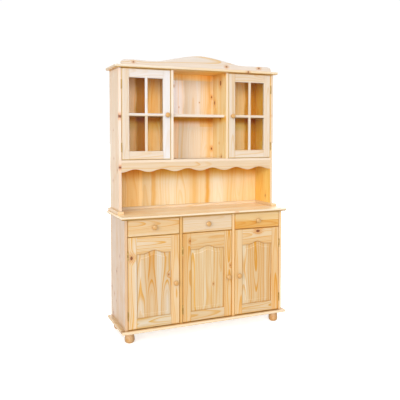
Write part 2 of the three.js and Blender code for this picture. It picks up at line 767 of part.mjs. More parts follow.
// Finishes
const finishes = {
  carcase: { color: 0xe3c9a8, roughness: 0.45, metalness: 0 },
  door: { color: 0xe8cb9e, roughness: 0.42, metalness: 0 },
  top: { color: 0xf0cd9b, roughness: 0.38, metalness: 0 },
  inside: { color: 0xdcb681, roughness: 0.6, metalness: 0 },
  turning: { color: 0xe0ab62, roughness: 0.4, metalness: 0 },
  glass: { color: 0xdfe9e6, roughness: 0.05, metalness: 0 },
  brass: { color: 0x8a6f35, roughness: 0.4, metalness: 1 },
};

const dresser = new THREE.Group();

function add(name, finish, geometry) {
  const mesh = new THREE.Mesh(geometry, new THREE.MeshStandardMaterial(finishes[finish]));
  mesh.name = name;
  dresser.add(mesh);
}

function addHinges(door, line, heights) {
  for (const [place, height] of Object.entries(heights)) {
    add(`hinge_${door}_${place}`, "brass", carcaseLeaf(line, height));
  }
}

const sides = { left: -1, right: 1 };

for (const [name, side] of Object.entries(sides)) {
  add(`base_side_${name}`, "carcase", baseSide(side));
  add(`base_divider_${name}`, "carcase", baseDivider(side));
  add(`foot_front_${name}`, "turning", bunFoot(side * (OUTER - FOOT_INSET), BASE_FRONT + FOOT_INSET));
  add(`foot_rear_${name}`, "turning", bunFoot(side * (OUTER - FOOT_INSET), BACK - FOOT_INSET));
  add(`hutch_side_${name}`, "carcase", hutchSide(side));
  add(`hutch_divider_${name}`, "carcase", hutchDivider(side));
  add(`sill_block_${name}`, "top", sillBlock(side));
}
add("plinth_board", "top", plinthBoard());
add("worktop", "top", worktop());
add("base_back_panel", "inside", baseBackPanel());
add("drawer_frame", "inside", drawerFrame());
add("base_shelf", "inside", baseShelf());
add("hutch_floor", "carcase", hutchFloor());
add("hutch_shelf", "inside", hutchShelf());
add("hutch_back_panel", "inside", hutchBackPanel());
add("back_rail", "inside", backRail());
add("cornice_board", "top", corniceBoard());
add("pediment", "top", pediment());
add("apron", "carcase", apron());

for (const bay of baseBays) {
  const middle = (bay.left + bay.right) / 2;
  const line = hingeLine(bay, BASE_FRONT);
  add(`drawer_front_${bay.name}`, "door", drawerFront(bay));
  add(`drawer_box_${bay.name}`, "inside", drawerBox(bay));
  add(`drawer_knob_${bay.name}`, "turning", knob(middle, BASE_FRONT, (DRAWER_LOW + DRAWER_TOP) / 2));
  add(`base_door_frame_${bay.name}`, "door", baseDoorFrame(bay));
  add(`base_door_panel_${bay.name}`, "door", baseDoorPanel(bay));
  add(
    `base_door_knob_${bay.name}`,
    "turning",
    knob(stileMiddle(bay, STILE), BASE_FRONT, BASE_DOOR_TOP - BASE_KNOB_DROP),
  );
  addHinges(`base_${bay.name}`, line, baseHingeHeights());
}

for (const bay of hutchBays) {
  const line = hingeLine(bay, HUTCH_FRONT);
  add(`glazed_door_frame_${bay.name}`, "door", glazedDoorFrame(bay));
  add(`glazed_door_glass_${bay.name}`, "glass", glazedDoorGlass(bay));
  add(
    `glazed_door_knob_${bay.name}`,
    "turning",
    knob(stileMiddle(bay, GLAZED_STILE), HUTCH_FRONT, (GLASS_LOW + GLASS_TOP) / 2),
  );
  addHinges(`glazed_${bay.name}`, line, glazedHingeHeights());
}

export default dresser;
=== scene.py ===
"""A pine dresser: procedural pine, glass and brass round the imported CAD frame.

Metres, Z up, and the front faces -Y."""

import json
import math

import bmesh
import bpy
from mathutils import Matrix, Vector


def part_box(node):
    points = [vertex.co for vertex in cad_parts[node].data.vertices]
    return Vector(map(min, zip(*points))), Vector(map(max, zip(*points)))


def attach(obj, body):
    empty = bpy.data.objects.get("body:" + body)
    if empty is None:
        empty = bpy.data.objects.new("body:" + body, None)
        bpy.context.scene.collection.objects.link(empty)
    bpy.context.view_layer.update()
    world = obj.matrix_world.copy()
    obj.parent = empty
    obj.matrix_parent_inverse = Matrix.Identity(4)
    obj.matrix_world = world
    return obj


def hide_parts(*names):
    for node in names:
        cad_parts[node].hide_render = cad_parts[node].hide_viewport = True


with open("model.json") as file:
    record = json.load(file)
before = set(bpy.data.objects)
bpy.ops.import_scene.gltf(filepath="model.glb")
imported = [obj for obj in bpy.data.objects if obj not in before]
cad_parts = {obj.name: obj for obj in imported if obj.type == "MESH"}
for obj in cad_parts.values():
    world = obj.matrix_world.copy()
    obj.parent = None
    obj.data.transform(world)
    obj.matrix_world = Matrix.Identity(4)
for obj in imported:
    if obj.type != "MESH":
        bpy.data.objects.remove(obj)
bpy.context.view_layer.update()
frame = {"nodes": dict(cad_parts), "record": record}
nodes = frame["nodes"]

# Camera, from the photograph's vanishing points
CAMERA_PLACE = (-1.4705, -3.4398, 1.3259)
CAMERA_YAW = 23.346
CAMERA_PITCH = 2.885
CAMERA_LENS = 48.403
CAMERA_SHIFT = -0.09

# Boards and door frames. Rails are the heights of the lower rail and of the upper one beside its arch
BOARD = 0.018
STILE = 0.058
RAILS = (0.066, 0.111)
GLAZED_STILE = 0.052
GLAZED_RAILS = (0.055, 0.059)
GLAZING_BAR = 0.018
BACK_BOARDS = 12

# Wider than any board, for those that aren't glued from strips
ONE_STRIP = 10.0

# How near a face is to the outline that it lies on, and how far before and beside the plate the hinge begins
ON_OUTLINE = 0.0002
PAST_FRONT = 0.0003
PAST_SIDE = 0.0001

# The white studio: its light behind the part, on matt faces, in reflections and from the floor, and its size
BACKDROP = 1.02
SKY_FILL = 0.245
STUDIO = 1.2
FLOOR_GLOW = 0.58
FLOOR_REACH = 90

# Tints that the pine is multiplied by: all over, then painted shade of the gaps on fronts' edges, borders and
# reveals
PINE_SHADE = (0.70, 0.68, 0.645)
SIDE_EDGE_SHADE = (1.1, 0.84, 0.5)
END_EDGE_SHADE = (1.15, 0.86, 0.5)
BORDER_SHADE = (0.94, 0.75, 0.34)
REVEAL_SHADE = (0.84, 0.72, 0.52)

# Where a front's painted shades begin and are whole: near is the distance past its outline, depth is behind
# its face
BORDER_WIDTH = 0.005
EDGE_NEAR = (-0.0008, -0.0005)
EDGE_DEPTH = (0.0006, 0.0012)
REVEAL_DEPTH = (0.0008, 0.0014)
REVEAL_END = (0.009, 0.01)

# Gloss and lacquer
GLOSS = 0.5
FRONT_GLOSS = 0.3
BACK_GLOSS = 0.25
EDGE_GLOSS = 0.1
COAT = 0.25
BACK_COAT = 0.05

# Knots that one material can place, how much longer than wide a knot is, and the smallest radius that counts
PLACED_KNOTS = 5
KNOT_STRETCH = 1.5
LEAST_KNOT = 0.00001

# Seeds of the pine: the first one, and the step to the next
BOARD_SEEDS = (0.5, 1.37)
DOOR_SEEDS = (31.7, 5.3)
FOOT_SEEDS = (101, 3.3)
KNOB_SEEDS = (202, 2.9)
BACK_SEED = 71.3

# Turned pieces, as shares of their radius and length
FOOT_RADIUS_SHARES = (0.64, 0.8, 0.93, 0.99, 1, 0.97, 0.92, 0.88, 0.86, 0.9, 0.9)
FOOT_LEVEL_SHARES = (0, 0.045, 0.13, 0.23, 0.35, 0.5, 0.65, 0.78, 0.88, 0.92, 1)
KNOB_RADIUS_SHARES = (0.62, 0.62, 0.46, 0.44, 0.6, 0.86, 0.98, 1, 0.93, 0.74, 0.42)
KNOB_LENGTH_SHARES = (0, 0.08, 0.16, 0.34, 0.5, 0.6, 0.68, 0.76, 0.87, 0.95, 0.99)
TURNED_SIDES = 64
TURNED_STEPS = 5

# Hinges
KNUCKLE_RADIUS = 0.0032
PIN_TO_LEAF = 0.0015
LEAF_WIDTH = 0.013
LEAF_SET_IN = 0.0003
LEAF_PROUD = 0.0005
LEAF_CORNER = 0.0022
SCREW_RADIUS = 0.0026
SCREW_SIDES = 24
SCREW_PROUD = 0.0003
SCREW_FLOOR_SHARE = 0.35
SCREW_SLOT = 0.0007
SCREW_SPACING = 0.021
SCREW_LINE_SHARE = 0.55


def colour(red, green, blue):
    """An sRGB colour of 0 to 255 a channel as the linear one that nodes take."""

    def linear(c):
        c /= 255
        return c / 12.92 if c <= 0.04045 else ((c + 0.055) / 1.055) ** 2.4

    return (linear(red), linear(green), linear(blue), 1)


class Net:
    """Short calls that add nodes to a tree and return the socket to link on."""

    def __init__(self, tree):
        self.tree = tree

    def node(self, kind, **settings):
        made = self.tree.nodes.new(kind)
        for name, value in settings.items():
            setattr(made, name, value)
        return made

    def put(self, value, socket):
        if isinstance(value, bpy.types.NodeSocket):
            self.tree.links.new(value, socket)
        elif value is not None:
            socket.default_value = value

    def math(self, operation, *values, clamp=False):
        made = self.node("ShaderNodeMath", operation=operation, use_clamp=clamp)
        for i, value in enumerate(values):
            self.put(value, made.inputs[i])
        return made.outputs[0]

    def plus(self, a, b, clamp=False):
        return self.math("ADD", a, b, clamp=clamp)

    def minus(self, a, b):
        return self.math("SUBTRACT", a, b)

    def times(self, a, b):
        return self.math("MULTIPLY", a, b)

    def over(self, a, b):
        return self.math("DIVIDE", a, b)

    def times_plus(self, a, b, c):
        return self.math("MULTIPLY_ADD", a, b, c)

    def less(self, a, b):
        return self.math("LESS_THAN", a, b)

    def more(self, a, b):
        return self.math("GREATER_THAN", a, b)

    def between(self, value, low, high):
        return self.times(self.more(value, low), self.less(value, high))

    def apart(self, a, b):
        """How far two values are from each other."""
        return self.math("ABSOLUTE", self.minus(a, b))

    def vector(self, operation, *values):
        made = self.node("ShaderNodeVectorMath", operation=operation)
        for i, value in enumerate(values):
            self.put(value, made.inputs[i])
        return made.outputs["Value" if operation in ("LENGTH", "DISTANCE") else "Vector"]

    def mix(self, factor, a, b, kind="RGBA"):
        made = self.node("ShaderNodeMix", data_type=kind, clamp_factor=True)
        first = {"FLOAT": 2, "VECTOR": 4, "RGBA": 6}[kind]
        self.put(factor, made.inputs[0])
        self.put(a, made.inputs[first])
        self.put(b, made.inputs[first + 1])
        return made.outputs[{"FLOAT": 0, "VECTOR": 1, "RGBA": 2}[kind]]

    def ramp(self, value, low, high, to_low=0.0, to_high=1.0):
        made = self.node("ShaderNodeMapRange", interpolation_type="SMOOTHSTEP")
        for i, item in enumerate((value, low, high, to_low, to_high)):
            self.put(item, made.inputs[i])
        return made.outputs[0]

    def split(self, vector):
        made = self.node("ShaderNodeSeparateXYZ")
        self.put(vector, made.inputs[0])
        return made.outputs

    def join(self, *values):
        made = self.node("ShaderNodeCombineXYZ")
        for i, value in enumerate(values):
            self.put(value, made.inputs[i])
        return made.outputs[0]

    def scaled(self, values, scales):
        return self.join(*[self.times(value, scale) for value, scale in zip(values, scales)])

    def noise(self, vector, scale=1.0, detail=2.0, rough=0.5):
        made = self.node("ShaderNodeTexNoise", noise_dimensions="3D")
        self.put(vector, made.inputs["Vector"])
        made.inputs["Scale"].default_value = scale
        made.inputs["Detail"].default_value = detail
        made.inputs["Roughness"].default_value = rough
        return made.outputs

    def line_noise(self, value, scale=1.0, detail=1.0):
        made = self.node("ShaderNodeTexNoise", noise_dimensions="1D")
        self.put(value, made.inputs["W"])
        made.inputs["Scale"].default_value = scale
        made.inputs["Detail"].default_value = detail
        return made.outputs[0]

    def place(self):
        """Object coordinates, which stay on the piece."""
        return self.node("ShaderNodeTexCoord").outputs["Object"]

    def bump(self, height, strength, distance):
        made = self.node("ShaderNodeBump")
        made.inputs["Strength"].default_value = strength
        made.inputs["Distance"].default_value = distance
        self.put(height, made.inputs["Height"])
        return made.outputs[0]

    def chance(self, value):
        """Three random numbers that stay the same for one value."""
        made = self.node("ShaderNodeTexWhiteNoise", noise_dimensions="1D")
        self.put(value, made.inputs["W"])
        return self.split(made.outputs["Color"])

    def stops(self, value, *stops, sharp=False):
        made = self.node("ShaderNodeValToRGB")
        made.color_ramp.interpolation = "CONSTANT" if sharp else "LINEAR"
        elements = made.color_ramp.elements
        while len(elements) < len(stops):
            elements.new(0.5)
        for element, (place, shade) in zip(elements, stops):
            element.position, element.color = place, shade
        self.put(value, made.inputs[0])
        return made.outputs[0]


def pine_group():
    """Sawn pine. Place is metres along the grain, across the face and into the board.
    The odd factors on the seed only keep what it sets apart from each other."""
    tree = bpy.data.node_groups.new("pine", "ShaderNodeTree")
    numbers = ("Seed", "Strip", "Vary", "Ring", "Tone", "Figure", "Knots")
    spots = ("Place", "Pith", *[f"Knot {i + 1}" for i in range(PLACED_KNOTS)])
    for direction, kind, names in (
        ("INPUT", "Vector", spots), ("INPUT", "Float", numbers), ("INPUT", "Color", ["Tint"]),
        ("OUTPUT", "Color", ["Color"]), ("OUTPUT", "Float", ["Height", "Roughness"]),
    ):
        for name in names:
            tree.interface.new_socket(name, in_out=direction, socket_type="NodeSocket" + kind)
    net = Net(tree)
    given = net.node("NodeGroupInput").outputs
    along, across, deep = net.split(given["Place"])
    seed = given["Seed"]
    _, pith_across, pith_deep = net.split(given["Pith"])

    # Edge-glued strips, each from another log
    strip = net.math("FLOOR", net.times_plus(across, net.over(1.0, given["Strip"]), 0.5))
    in_strip = net.minus(across, net.times(strip, given["Strip"]))
    luck = net.chance(net.times_plus(seed, 13.7, strip))
    vary = given["Vary"]
    far = net.plus(along, net.times(seed, 3.7))
    far = net.plus(far, net.times(net.times(luck[2], vary), 80.0))
    side = net.minus(in_strip, pith_across)
    side = net.plus(side, net.times(net.minus(luck[0], 0.5), vary))
    depth = net.minus(deep, pith_deep)
    depth = net.plus(depth, net.times(net.minus(luck[1], 0.5), vary))

    # Knots: a few that are placed, and scattered small ones
    nearest = None
    dead = 0.0
    for i in range(PLACED_KNOTS):
        at_along, at_across, size = net.split(given[f"Knot {i + 1}"])
        off = net.join(net.over(net.minus(along, at_along), KNOT_STRETCH), net.minus(across, at_across), 0.0)
        reach = net.math("MAXIMUM", net.math("ABSOLUTE", size), LEAST_KNOT)
        share = net.over(net.vector("LENGTH", off), reach)
        nearest = share if nearest is None else net.math("MINIMUM", nearest, share)
        is_dead = net.times(net.less(size, 0.0), net.less(share, 2.0))
        dead = net.math("MAXIMUM", dead, is_dead)
    flat = net.scaled((far, across, seed), (5.0, 8.0, 3.1))
    cells = net.node("ShaderNodeTexVoronoi", voronoi_dimensions="3D", feature="F1")
    cells.inputs["Scale"].default_value = 1.0
    net.put(flat, cells.inputs["Vector"])
    toss = net.split(cells.outputs["Color"])
    gap = net.split(net.vector("SUBTRACT", flat, cells.outputs["Position"]))
    off = net.join(net.over(gap[0], 5.0 * KNOT_STRETCH), net.over(gap[1], 8.0), 0.0)
    kept = net.less(toss[0], given["Knots"])
    size = net.times(net.times_plus(toss[1], 0.006, 0.0025), kept)
    share = net.over(net.vector("LENGTH", off), net.math("MAXIMUM", size, LEAST_KNOT))
    nearest = net.math("MINIMUM", nearest, share)
    wobble = net.noise(given["Place"], 160.0, 2.0)[0]
    nearest = net.times(nearest, net.times_plus(wobble, 0.5, 0.75))
    bow = net.math("EXPONENT", net.times(net.math("POWER", nearest, 2.0), -0.16))
    knot = net.ramp(nearest, 0.85, 1.1, 1.0, 0.0)
    halo = net.minus(net.ramp(nearest, 1.0, 4.0, 1.0, 0.0), knot)

    # Year rings round the pith, bent by the tree's growth and by the knots
    bend = net.noise(net.scaled((far, side, depth), (1.3, 5.0, 5.0)), 1.0, 2.0, 0.55)[1]
    bend = net.split(net.vector("SUBTRACT", bend, (0.5, 0.5, 0.5)))
    side = net.plus(side, net.times(bend[0], 0.05))
    depth = net.plus(depth, net.times(bend[1], 0.05))
    radius = net.vector("LENGTH", net.join(side, depth, 0.0))
    radius = net.plus(radius, net.times(far, 0.012))
    radius = net.plus(radius, net.times(bow, 0.011))
    uneven = net.minus(net.line_noise(net.plus(radius, seed), 45.0), 0.5)
    phase = net.plus(net.over(radius, given["Ring"]), net.times(uneven, 1.6))
    year = net.math("FLOOR", phase)
    season = net.math("FRACT", phase)
    late = net.times(net.ramp(season, 0.42, 0.92), net.ramp(season, 0.94, 1.0, 1.0, 0.0))
    strong = net.times_plus(net.chance(net.times_plus(year, 1.7, seed))[0], 0.75, 0.25)
    late = net.times(late, strong)
    decade = net.minus(net.line_noise(net.times_plus(seed, 2.3, radius), 30.0), 0.5)
    streak = net.minus(net.noise(net.scaled((far, side, depth), (1.1, 38.0, 38.0)))[0], 0.5)
    fibre = net.noise(net.scaled((far, across, deep), (14.0, 620.0, 620.0)), 1.0, 3.0, 0.6)[0]
    fibre = net.minus(fibre, 0.5)

    # Colour: pale early wood, orange late wood, brown knots
    figure = given["Figure"]
    tone = net.plus(given["Tone"], net.times(net.minus(luck[1], 0.5), net.times(vary, 4.0)))
    tone = net.plus(tone, net.times(net.times(decade, figure), 0.55))
    tone = net.plus(tone, net.times(net.times(streak, figure), 0.45), clamp=True)
    early = net.stops(
        tone,
        (0.0, colour(249, 240, 228)),
        (0.25, colour(246, 227, 202)),
        (0.5, colour(242, 211, 169)),
        (0.75, colour(238, 192, 128)),
        (1.0, colour(233, 172, 84)),
    )
    dark = net.stops(
        tone,
        (0.0, colour(243, 211, 166)),
        (0.4, colour(238, 178, 64)),
        (1.0, colour(222, 140, 26)),
    )
    wood = net.mix(net.times(net.times(late, figure), 0.85), early, dark)
    wood = net.mix(net.times(halo, 0.6), wood, colour(224, 150, 58))
    heart = net.stops(
        nearest,
        (0.0, colour(172, 106, 44)),
        (0.45, colour(196, 126, 58)),
        (0.8, colour(150, 86, 34)),
        (1.0, colour(116, 64, 26)),
    )
    heart = net.mix(net.times(dead, 0.85), heart, colour(128, 62, 0))
    wood = net.mix(knot, wood, heart)
    to_glue = net.minus(net.times(given["Strip"], 0.5), net.math("ABSOLUTE", in_strip))
    glue = net.ramp(to_glue, 0.0002, 0.0008, 0.12, 0.0)
    wood = net.mix(glue, wood, colour(150, 100, 50))
    shade = net.times_plus(fibre, 0.16, 1.0)
    wood = net.vector("MULTIPLY", wood, net.join(shade, shade, shade))
    wood = net.vector("MULTIPLY", wood, given["Tint"])

    height = net.times_plus(late, 0.35, net.times(fibre, 0.9))
    height = net.minus(height, net.times(glue, 3.0))
    height = net.plus(height, net.times(knot, 0.5))
    handled = net.noise(given["Place"], 9.0, 2.0)[0]
    rough = net.times_plus(handled, 0.22, 0.32)
    rough = net.times_plus(late, -0.07, rough)
    rough = net.times_plus(fibre, 0.12, rough)
    out = net.node("NodeGroupOutput").inputs
    net.put(wood, out["Color"])
    net.put(height, out["Height"])
    net.put(rough, out["Roughness"])
    return tree


PINE = pine_group()


def new_material(name):
    made = bpy.data.materials.new(name)
    made.use_nodes = True
    net = Net(made.node_tree)
    made.node_tree.nodes.clear()
    shader = net.node("ShaderNodeBsdfPrincipled")
    out = net.node("ShaderNodeOutputMaterial")
    net.put(shader.outputs[0], out.inputs[0])
    return made, net, shader


def finish_pine(net, shader, place, seed, tone, placed, figure=1.0, pith=(0.01, 0.06), ring=0.0055,
                strip=ONE_STRIP, vary=0.0, knots=0.12, tint=(1, 1, 1), gloss=GLOSS, coat=COAT):
    """Sends a place on a board through the pine group to a lacquered surface.
    Strip is the width of the strips that a board is glued from, and vary is how much they differ.
    Ring is the width of a year ring, and pith is how far its centre is across the board and into it.
    Knots is the chance of a scattered one."""
    wood = net.node("ShaderNodeGroup", node_tree=PINE)
    shade = (*[whole * part for whole, part in zip(PINE_SHADE, tint)], 1)
    given = {"Place": place, "Seed": seed, "Pith": (0, *pith), "Strip": strip, "Vary": vary, "Ring": ring,
             "Tone": tone, "Figure": figure, "Knots": knots, "Tint": shade}
    given.update({f"Knot {i + 1}": knot for i, knot in enumerate(placed)})
    for name, value in given.items():
        net.put(value, wood.inputs[name])
    net.put(wood.outputs["Roughness"], shader.inputs["Roughness"])
    net.put(net.bump(wood.outputs["Height"], 0.35, 0.0004), shader.inputs["Normal"])
    shader.inputs["Specular IOR Level"].default_value = gloss
    shader.inputs["Coat Weight"].default_value = coat
    shader.inputs["Coat Roughness"].default_value = 0.22
    return wood.outputs["Color"]


def in_board_order(place, grain, face):
    """The three coordinates of a place in the order along the grain, across it and into the face."""
    along, deep = "XYZ".index(grain), "XYZ".index(face)
    return place[along], place[3 - along - deep], place[deep]


def multiply_by(net, shade, share, tint):
    """The shade times a tint, where share is one."""
    return net.vector("MULTIPLY", shade, net.mix(share, (1, 1, 1, 1), (*tint, 1)))


def board_material(name, grain, face, centre, seed, tone=0.35, placed=(), bands=(), tints=(), rim=None,
                   relief=1.0, **pine):
    """Pine for one board, with its grain along one axis and its face towards another.
    A placed knot is (along, across, size), and one with a negative size is dead, with a dark heart.
    A band of another tone is (direction, start, full, change, wave). The direction is 0 along, 1 across or
    2 deep, start and full are where the change begins and is whole, and wave is how much its edge wanders.
    A local tint is (direction, start, full, tint) in the same way. Further (direction, start, full) limit it.
    Rim is the lowest and the highest corner of a front that has painted warm shade of the gaps on its borders
    and edges.
    Relief is how much of a slope's depth the grain follows."""
    made, net, shader = new_material(name)
    place = in_board_order(net.split(net.place()), grain, face)
    along, across, deep = place
    _, middle_across, middle_deep = in_board_order(centre, grain, face)
    inwards = net.times(net.minus(deep, middle_deep), relief)
    on_board = net.join(along, net.minus(across, middle_across), inwards)
    placed = [(at_along, at_across - middle_across, size) for at_along, at_across, size in placed]
    for direction, start, full, change, wave in bands:
        at = place[direction]
        if wave:
            wander = net.noise(net.join(net.times(along, 4.0), 0.0, seed))[0]
            at = net.times_plus(net.minus(wander, 0.5), wave, at)
        tone = net.plus(tone, net.ramp(at, start, full, 0.0, change))
    shade = finish_pine(net, shader, on_board, seed, tone, placed, **pine)
    for direction, start, full, local_tint, *limits in tints:
        share = net.ramp(place[direction], start, full)
        for direction, start, full in limits:
            share = net.times(share, net.ramp(place[direction], start, full))
        shade = multiply_by(net, shade, share, local_tint)
    if rim:
        shade = shade_rim(net, shade, *rim)
    net.put(shade, shader.inputs["Base Color"])
    return made


def shade_rim(net, shade, low, high, side_edge=SIDE_EDGE_SHADE):
    """Painted shade of the gaps round a front: warmer along its border in the plane of X and Z, and on its
    outer edges behind the face.
    """
    x, y, z = net.split(net.place())
    start, whole = EDGE_DEPTH
    behind = net.times(net.ramp(y, low[1] + start, low[1] + whole),
                       net.ramp(y, high[1] - whole, high[1] - start, 1.0, 0.0))
    off_x, off_z = [
        net.minus(net.apart(at, (low[i] + high[i]) / 2), (high[i] - low[i]) / 2) for at, i in ((x, 0), (z, 2))
    ]
    off = net.math("MAXIMUM", off_x, off_z)
    at_edge = net.times(behind, net.ramp(off, *EDGE_NEAR))
    border = net.times(net.ramp(off, -BORDER_WIDTH, -BORDER_WIDTH / 2), net.minus(1.0, at_edge))
    shade = multiply_by(net, shade, border, BORDER_SHADE)
    for off, edge_shade in ((off_x, side_edge), (off_z, END_EDGE_SHADE)):
        shade = multiply_by(net, shade, net.times(behind, net.ramp(off, *EDGE_NEAR)), edge_shade)
    return shade


def frame_material(name, low, high, stile, opening, seed, tones, bar=None, placed=(), low_rail=(1, 1, 1),
                   side_edge=SIDE_EDGE_SHADE, **pine):
    """Pine for a door frame in one solid: the grain runs up the stiles and along the rails.
    Low and high are the plate's corners, and opening is the levels of its lower and upper edges.
    Tones are those of the two stiles and of the lower and the upper rail, and low_rail tints the lower one.
    Bar is the width of the glazing bars. A frame without them holds a panel, and has painted shade in its
    reveals.
    A placed knot is (member, along, across, size), with the members 0 to 3 in the order of the tones."""
    made, net, shader = new_material(name)
    x, y, z = net.split(net.place())
    left, right = low[0] + stile, high[0] - stile
    at_right = net.more(x, right)
    is_stile = net.plus(net.less(x, left), at_right)
    is_rail = net.minus(1.0, is_stile)
    at_top = net.more(z, (opening[0] + opening[1]) / 2)
    member = net.plus(at_right, net.times(is_rail, net.plus(2.0, at_top)))
    centres = [low[0] + stile / 2, high[0] - stile / 2, (low[2] + opening[0]) / 2, (high[2] + opening[1]) / 2]
    stile_middle = net.mix(at_right, *centres[:2], "FLOAT")
    rail_middle = net.mix(at_top, *centres[2:], "FLOAT")
    along = net.mix(is_stile, x, z, "FLOAT")
    across = net.mix(is_stile, net.minus(z, rail_middle), net.minus(x, stile_middle), "FLOAT")
    if bar:
        bar_middle = (low[0] + high[0]) / 2
        upright = net.times(net.less(net.apart(x, bar_middle), bar / 2), net.between(z, *opening))
        along = net.mix(upright, along, z, "FLOAT")
        across = net.mix(upright, across, net.minus(x, bar_middle), "FLOAT")
    along = net.times_plus(member, 2.0, along)
    tone = net.stops(
        net.times_plus(member, 0.25, 0.01),
        *[(i / 4, (t, t, t, 1)) for i, t in enumerate(tones)],
        sharp=True,
    )
    place = net.join(along, across, net.minus(y, low[1]))
    placed = [(at_along + 2.0 * m, at_across - centres[m], size) for m, at_along, at_across, size in placed]
    shade = finish_pine(net, shader, place, net.plus(member, seed), tone, placed, pith=(0.012, 0.05),
                        ring=0.006, knots=0.0, **pine)
    beyond = net.plus(net.less(z, opening[0] + 0.0005), net.more(z, opening[1] - 0.0005))
    seam = net.ramp(net.math("MINIMUM", net.apart(x, left), net.apart(x, right)), 0.0003, 0.0011, 0.5, 0.0)
    shade = net.mix(net.times(seam, beyond), shade, colour(120, 72, 30))
    shade = multiply_by(net, shade, net.times(net.less(z, opening[0]), is_rail), low_rail)
    shade = shade_rim(net, shade, low, high, side_edge)
    if not bar:
        # Painted shade in the reveals round the panel
        reveal = net.times(net.ramp(y, *[low[1] + depth for depth in REVEAL_DEPTH]),
                           net.ramp(y, *[low[1] + depth for depth in REVEAL_END], 1.0, 0.0))
        inside = net.between(x, left - 0.001, right + 0.001)
        shade = multiply_by(net, shade, net.times(reveal, inside), REVEAL_SHADE)
    net.put(shade, shader.inputs["Base Color"])
    return made


def brass_material():
    made, net, shader = new_material("aged_brass")
    place = net.place()
    patina = net.noise(place, 220.0, 3.0, 0.6)[0]
    rubbed = net.noise(place, 45.0, 2.0)[0]
    shade = net.stops(
        patina,
        (0.3, colour(96, 74, 34)),
        (0.5, colour(140, 112, 54)),
        (0.72, colour(178, 146, 80)),
    )
    shade = net.mix(net.ramp(rubbed, 0.52, 0.7), shade, colour(206, 178, 112))
    net.put(shade, shader.inputs["Base Color"])
    shader.inputs["Metallic"].default_value = 1.0
    net.put(net.times_plus(patina, 0.3, 0.24), shader.inputs["Roughness"])
    net.put(net.bump(patina, 0.2, 0.0002), shader.inputs["Normal"])
    return made


def glass_material():
    """Clear float glass with faint waves, a little dust, and a gloss that grows at a grazing angle."""
    made = bpy.data.materials.new("clear_glass")
    made.use_nodes = True
    net = Net(made.node_tree)
    made.node_tree.nodes.clear()
    place = net.place()
    waves = net.noise(place, 7.0, 1.0)[0]
    dust = net.noise(place, 60.0, 4.0, 0.65)[0]
    clear = net.node("ShaderNodeBsdfTransparent")
    net.put(net.mix(dust, colour(252, 254, 252), colour(255, 255, 254)), clear.inputs["Color"])
    gloss = net.node("ShaderNodeBsdfGlossy")
    gloss.inputs["Color"].default_value = (0.16, 0.16, 0.16, 1)
    net.put(net.times_plus(dust, 0.05, 0.01), gloss.inputs["Roughness"])
    net.put(net.bump(waves, 0.12, 0.004), gloss.inputs["Normal"])
    fresnel = net.node("ShaderNodeFresnel")
    fresnel.inputs["IOR"].default_value = 1.65
    leaving = net.node("ShaderNodeNewGeometry").outputs["Backfacing"]
    shine = net.times(fresnel.outputs[0], net.minus(1.0, leaving))
    mixer = net.node("ShaderNodeMixShader")
    net.put(shine, mixer.inputs[0])
    net.put(clear.outputs[0], mixer.inputs[1])
    net.put(gloss.outputs[0], mixer.inputs[2])
    out = net.node("ShaderNodeOutputMaterial")
    net.put(mixer.outputs[0], out.inputs[0])
    return made


def middle(node):
    low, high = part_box(node)
    return (low + high) / 2


def dress(node, material):
    mesh = nodes[node].data
    mesh.materials.clear()
    mesh.materials.append(material)


def dull_edges(node, low, high):
    """Gives the outer edges of a front the same pine without lacquer, in a slot of its own."""
    mesh = nodes[node].data
    bare = mesh.materials[0].copy()
    bare.name = node + "_edge_pine"
    shader = bare.node_tree.nodes["Principled BSDF"]
    shader.inputs["Specular IOR Level"].default_value = EDGE_GLOSS
    shader.inputs["Coat Weight"].default_value = 0.0
    mesh.materials.append(bare)
    for face in mesh.polygons:
        at = face.center
        off = min(abs(at.x - low[0]), abs(at.x - high[0]), abs(at.z - low[2]), abs(at.z - high[2]))
        if face.material_index == 0 and abs(face.normal.y) < 0.5 and off < ON_OUTLINE:
            face.material_index = len(mesh.materials) - 1


def seed_of(seeds, count):
    first, step = seeds
    return first + step * count


SHELF_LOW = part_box("hutch_shelf")[0].z

# Boards in one solid each. First what is common to a kind, by where the board is and how it lies
BASE_UPRIGHT = dict(grain="Z", face="X", strip=0.09, vary=0.06)
BASE_LEVEL = dict(grain="X", face="Z", strip=0.095, vary=0.06, tone=0.42)
HUTCH_UPRIGHT = dict(grain="Z", face="X", strip=0.078, vary=0.05, tone=0.3)
HUTCH_LEVEL = dict(grain="X", face="Z", strip=0.08, vary=0.05, figure=0.6)
LENGTHWISE = dict(grain="X", face="Y")
DRAWER_FRONT = dict(LENGTHWISE, knots=0.0, gloss=FRONT_GLOSS)
CROSSWISE = dict(grain="Y", face="Z", knots=0.0)
PANEL = dict(grain="Z", face="Y", strip=0.085, ring=0.0065, tone=0.42, figure=1.8, knots=0.0,
             pith=(0.0, 0.05), relief=0.25, gloss=FRONT_GLOSS)
# Painted warm shade of the gaps on the dividers' sides, just behind the door fronts. The second tint takes it
# back further in
DIVIDER_GAP_SHADE = [(1, -0.1660, -0.1655, (1.3, 1.05, 0.45)), (1, -0.1488, -0.1482, (0.77, 0.95, 2.2))]

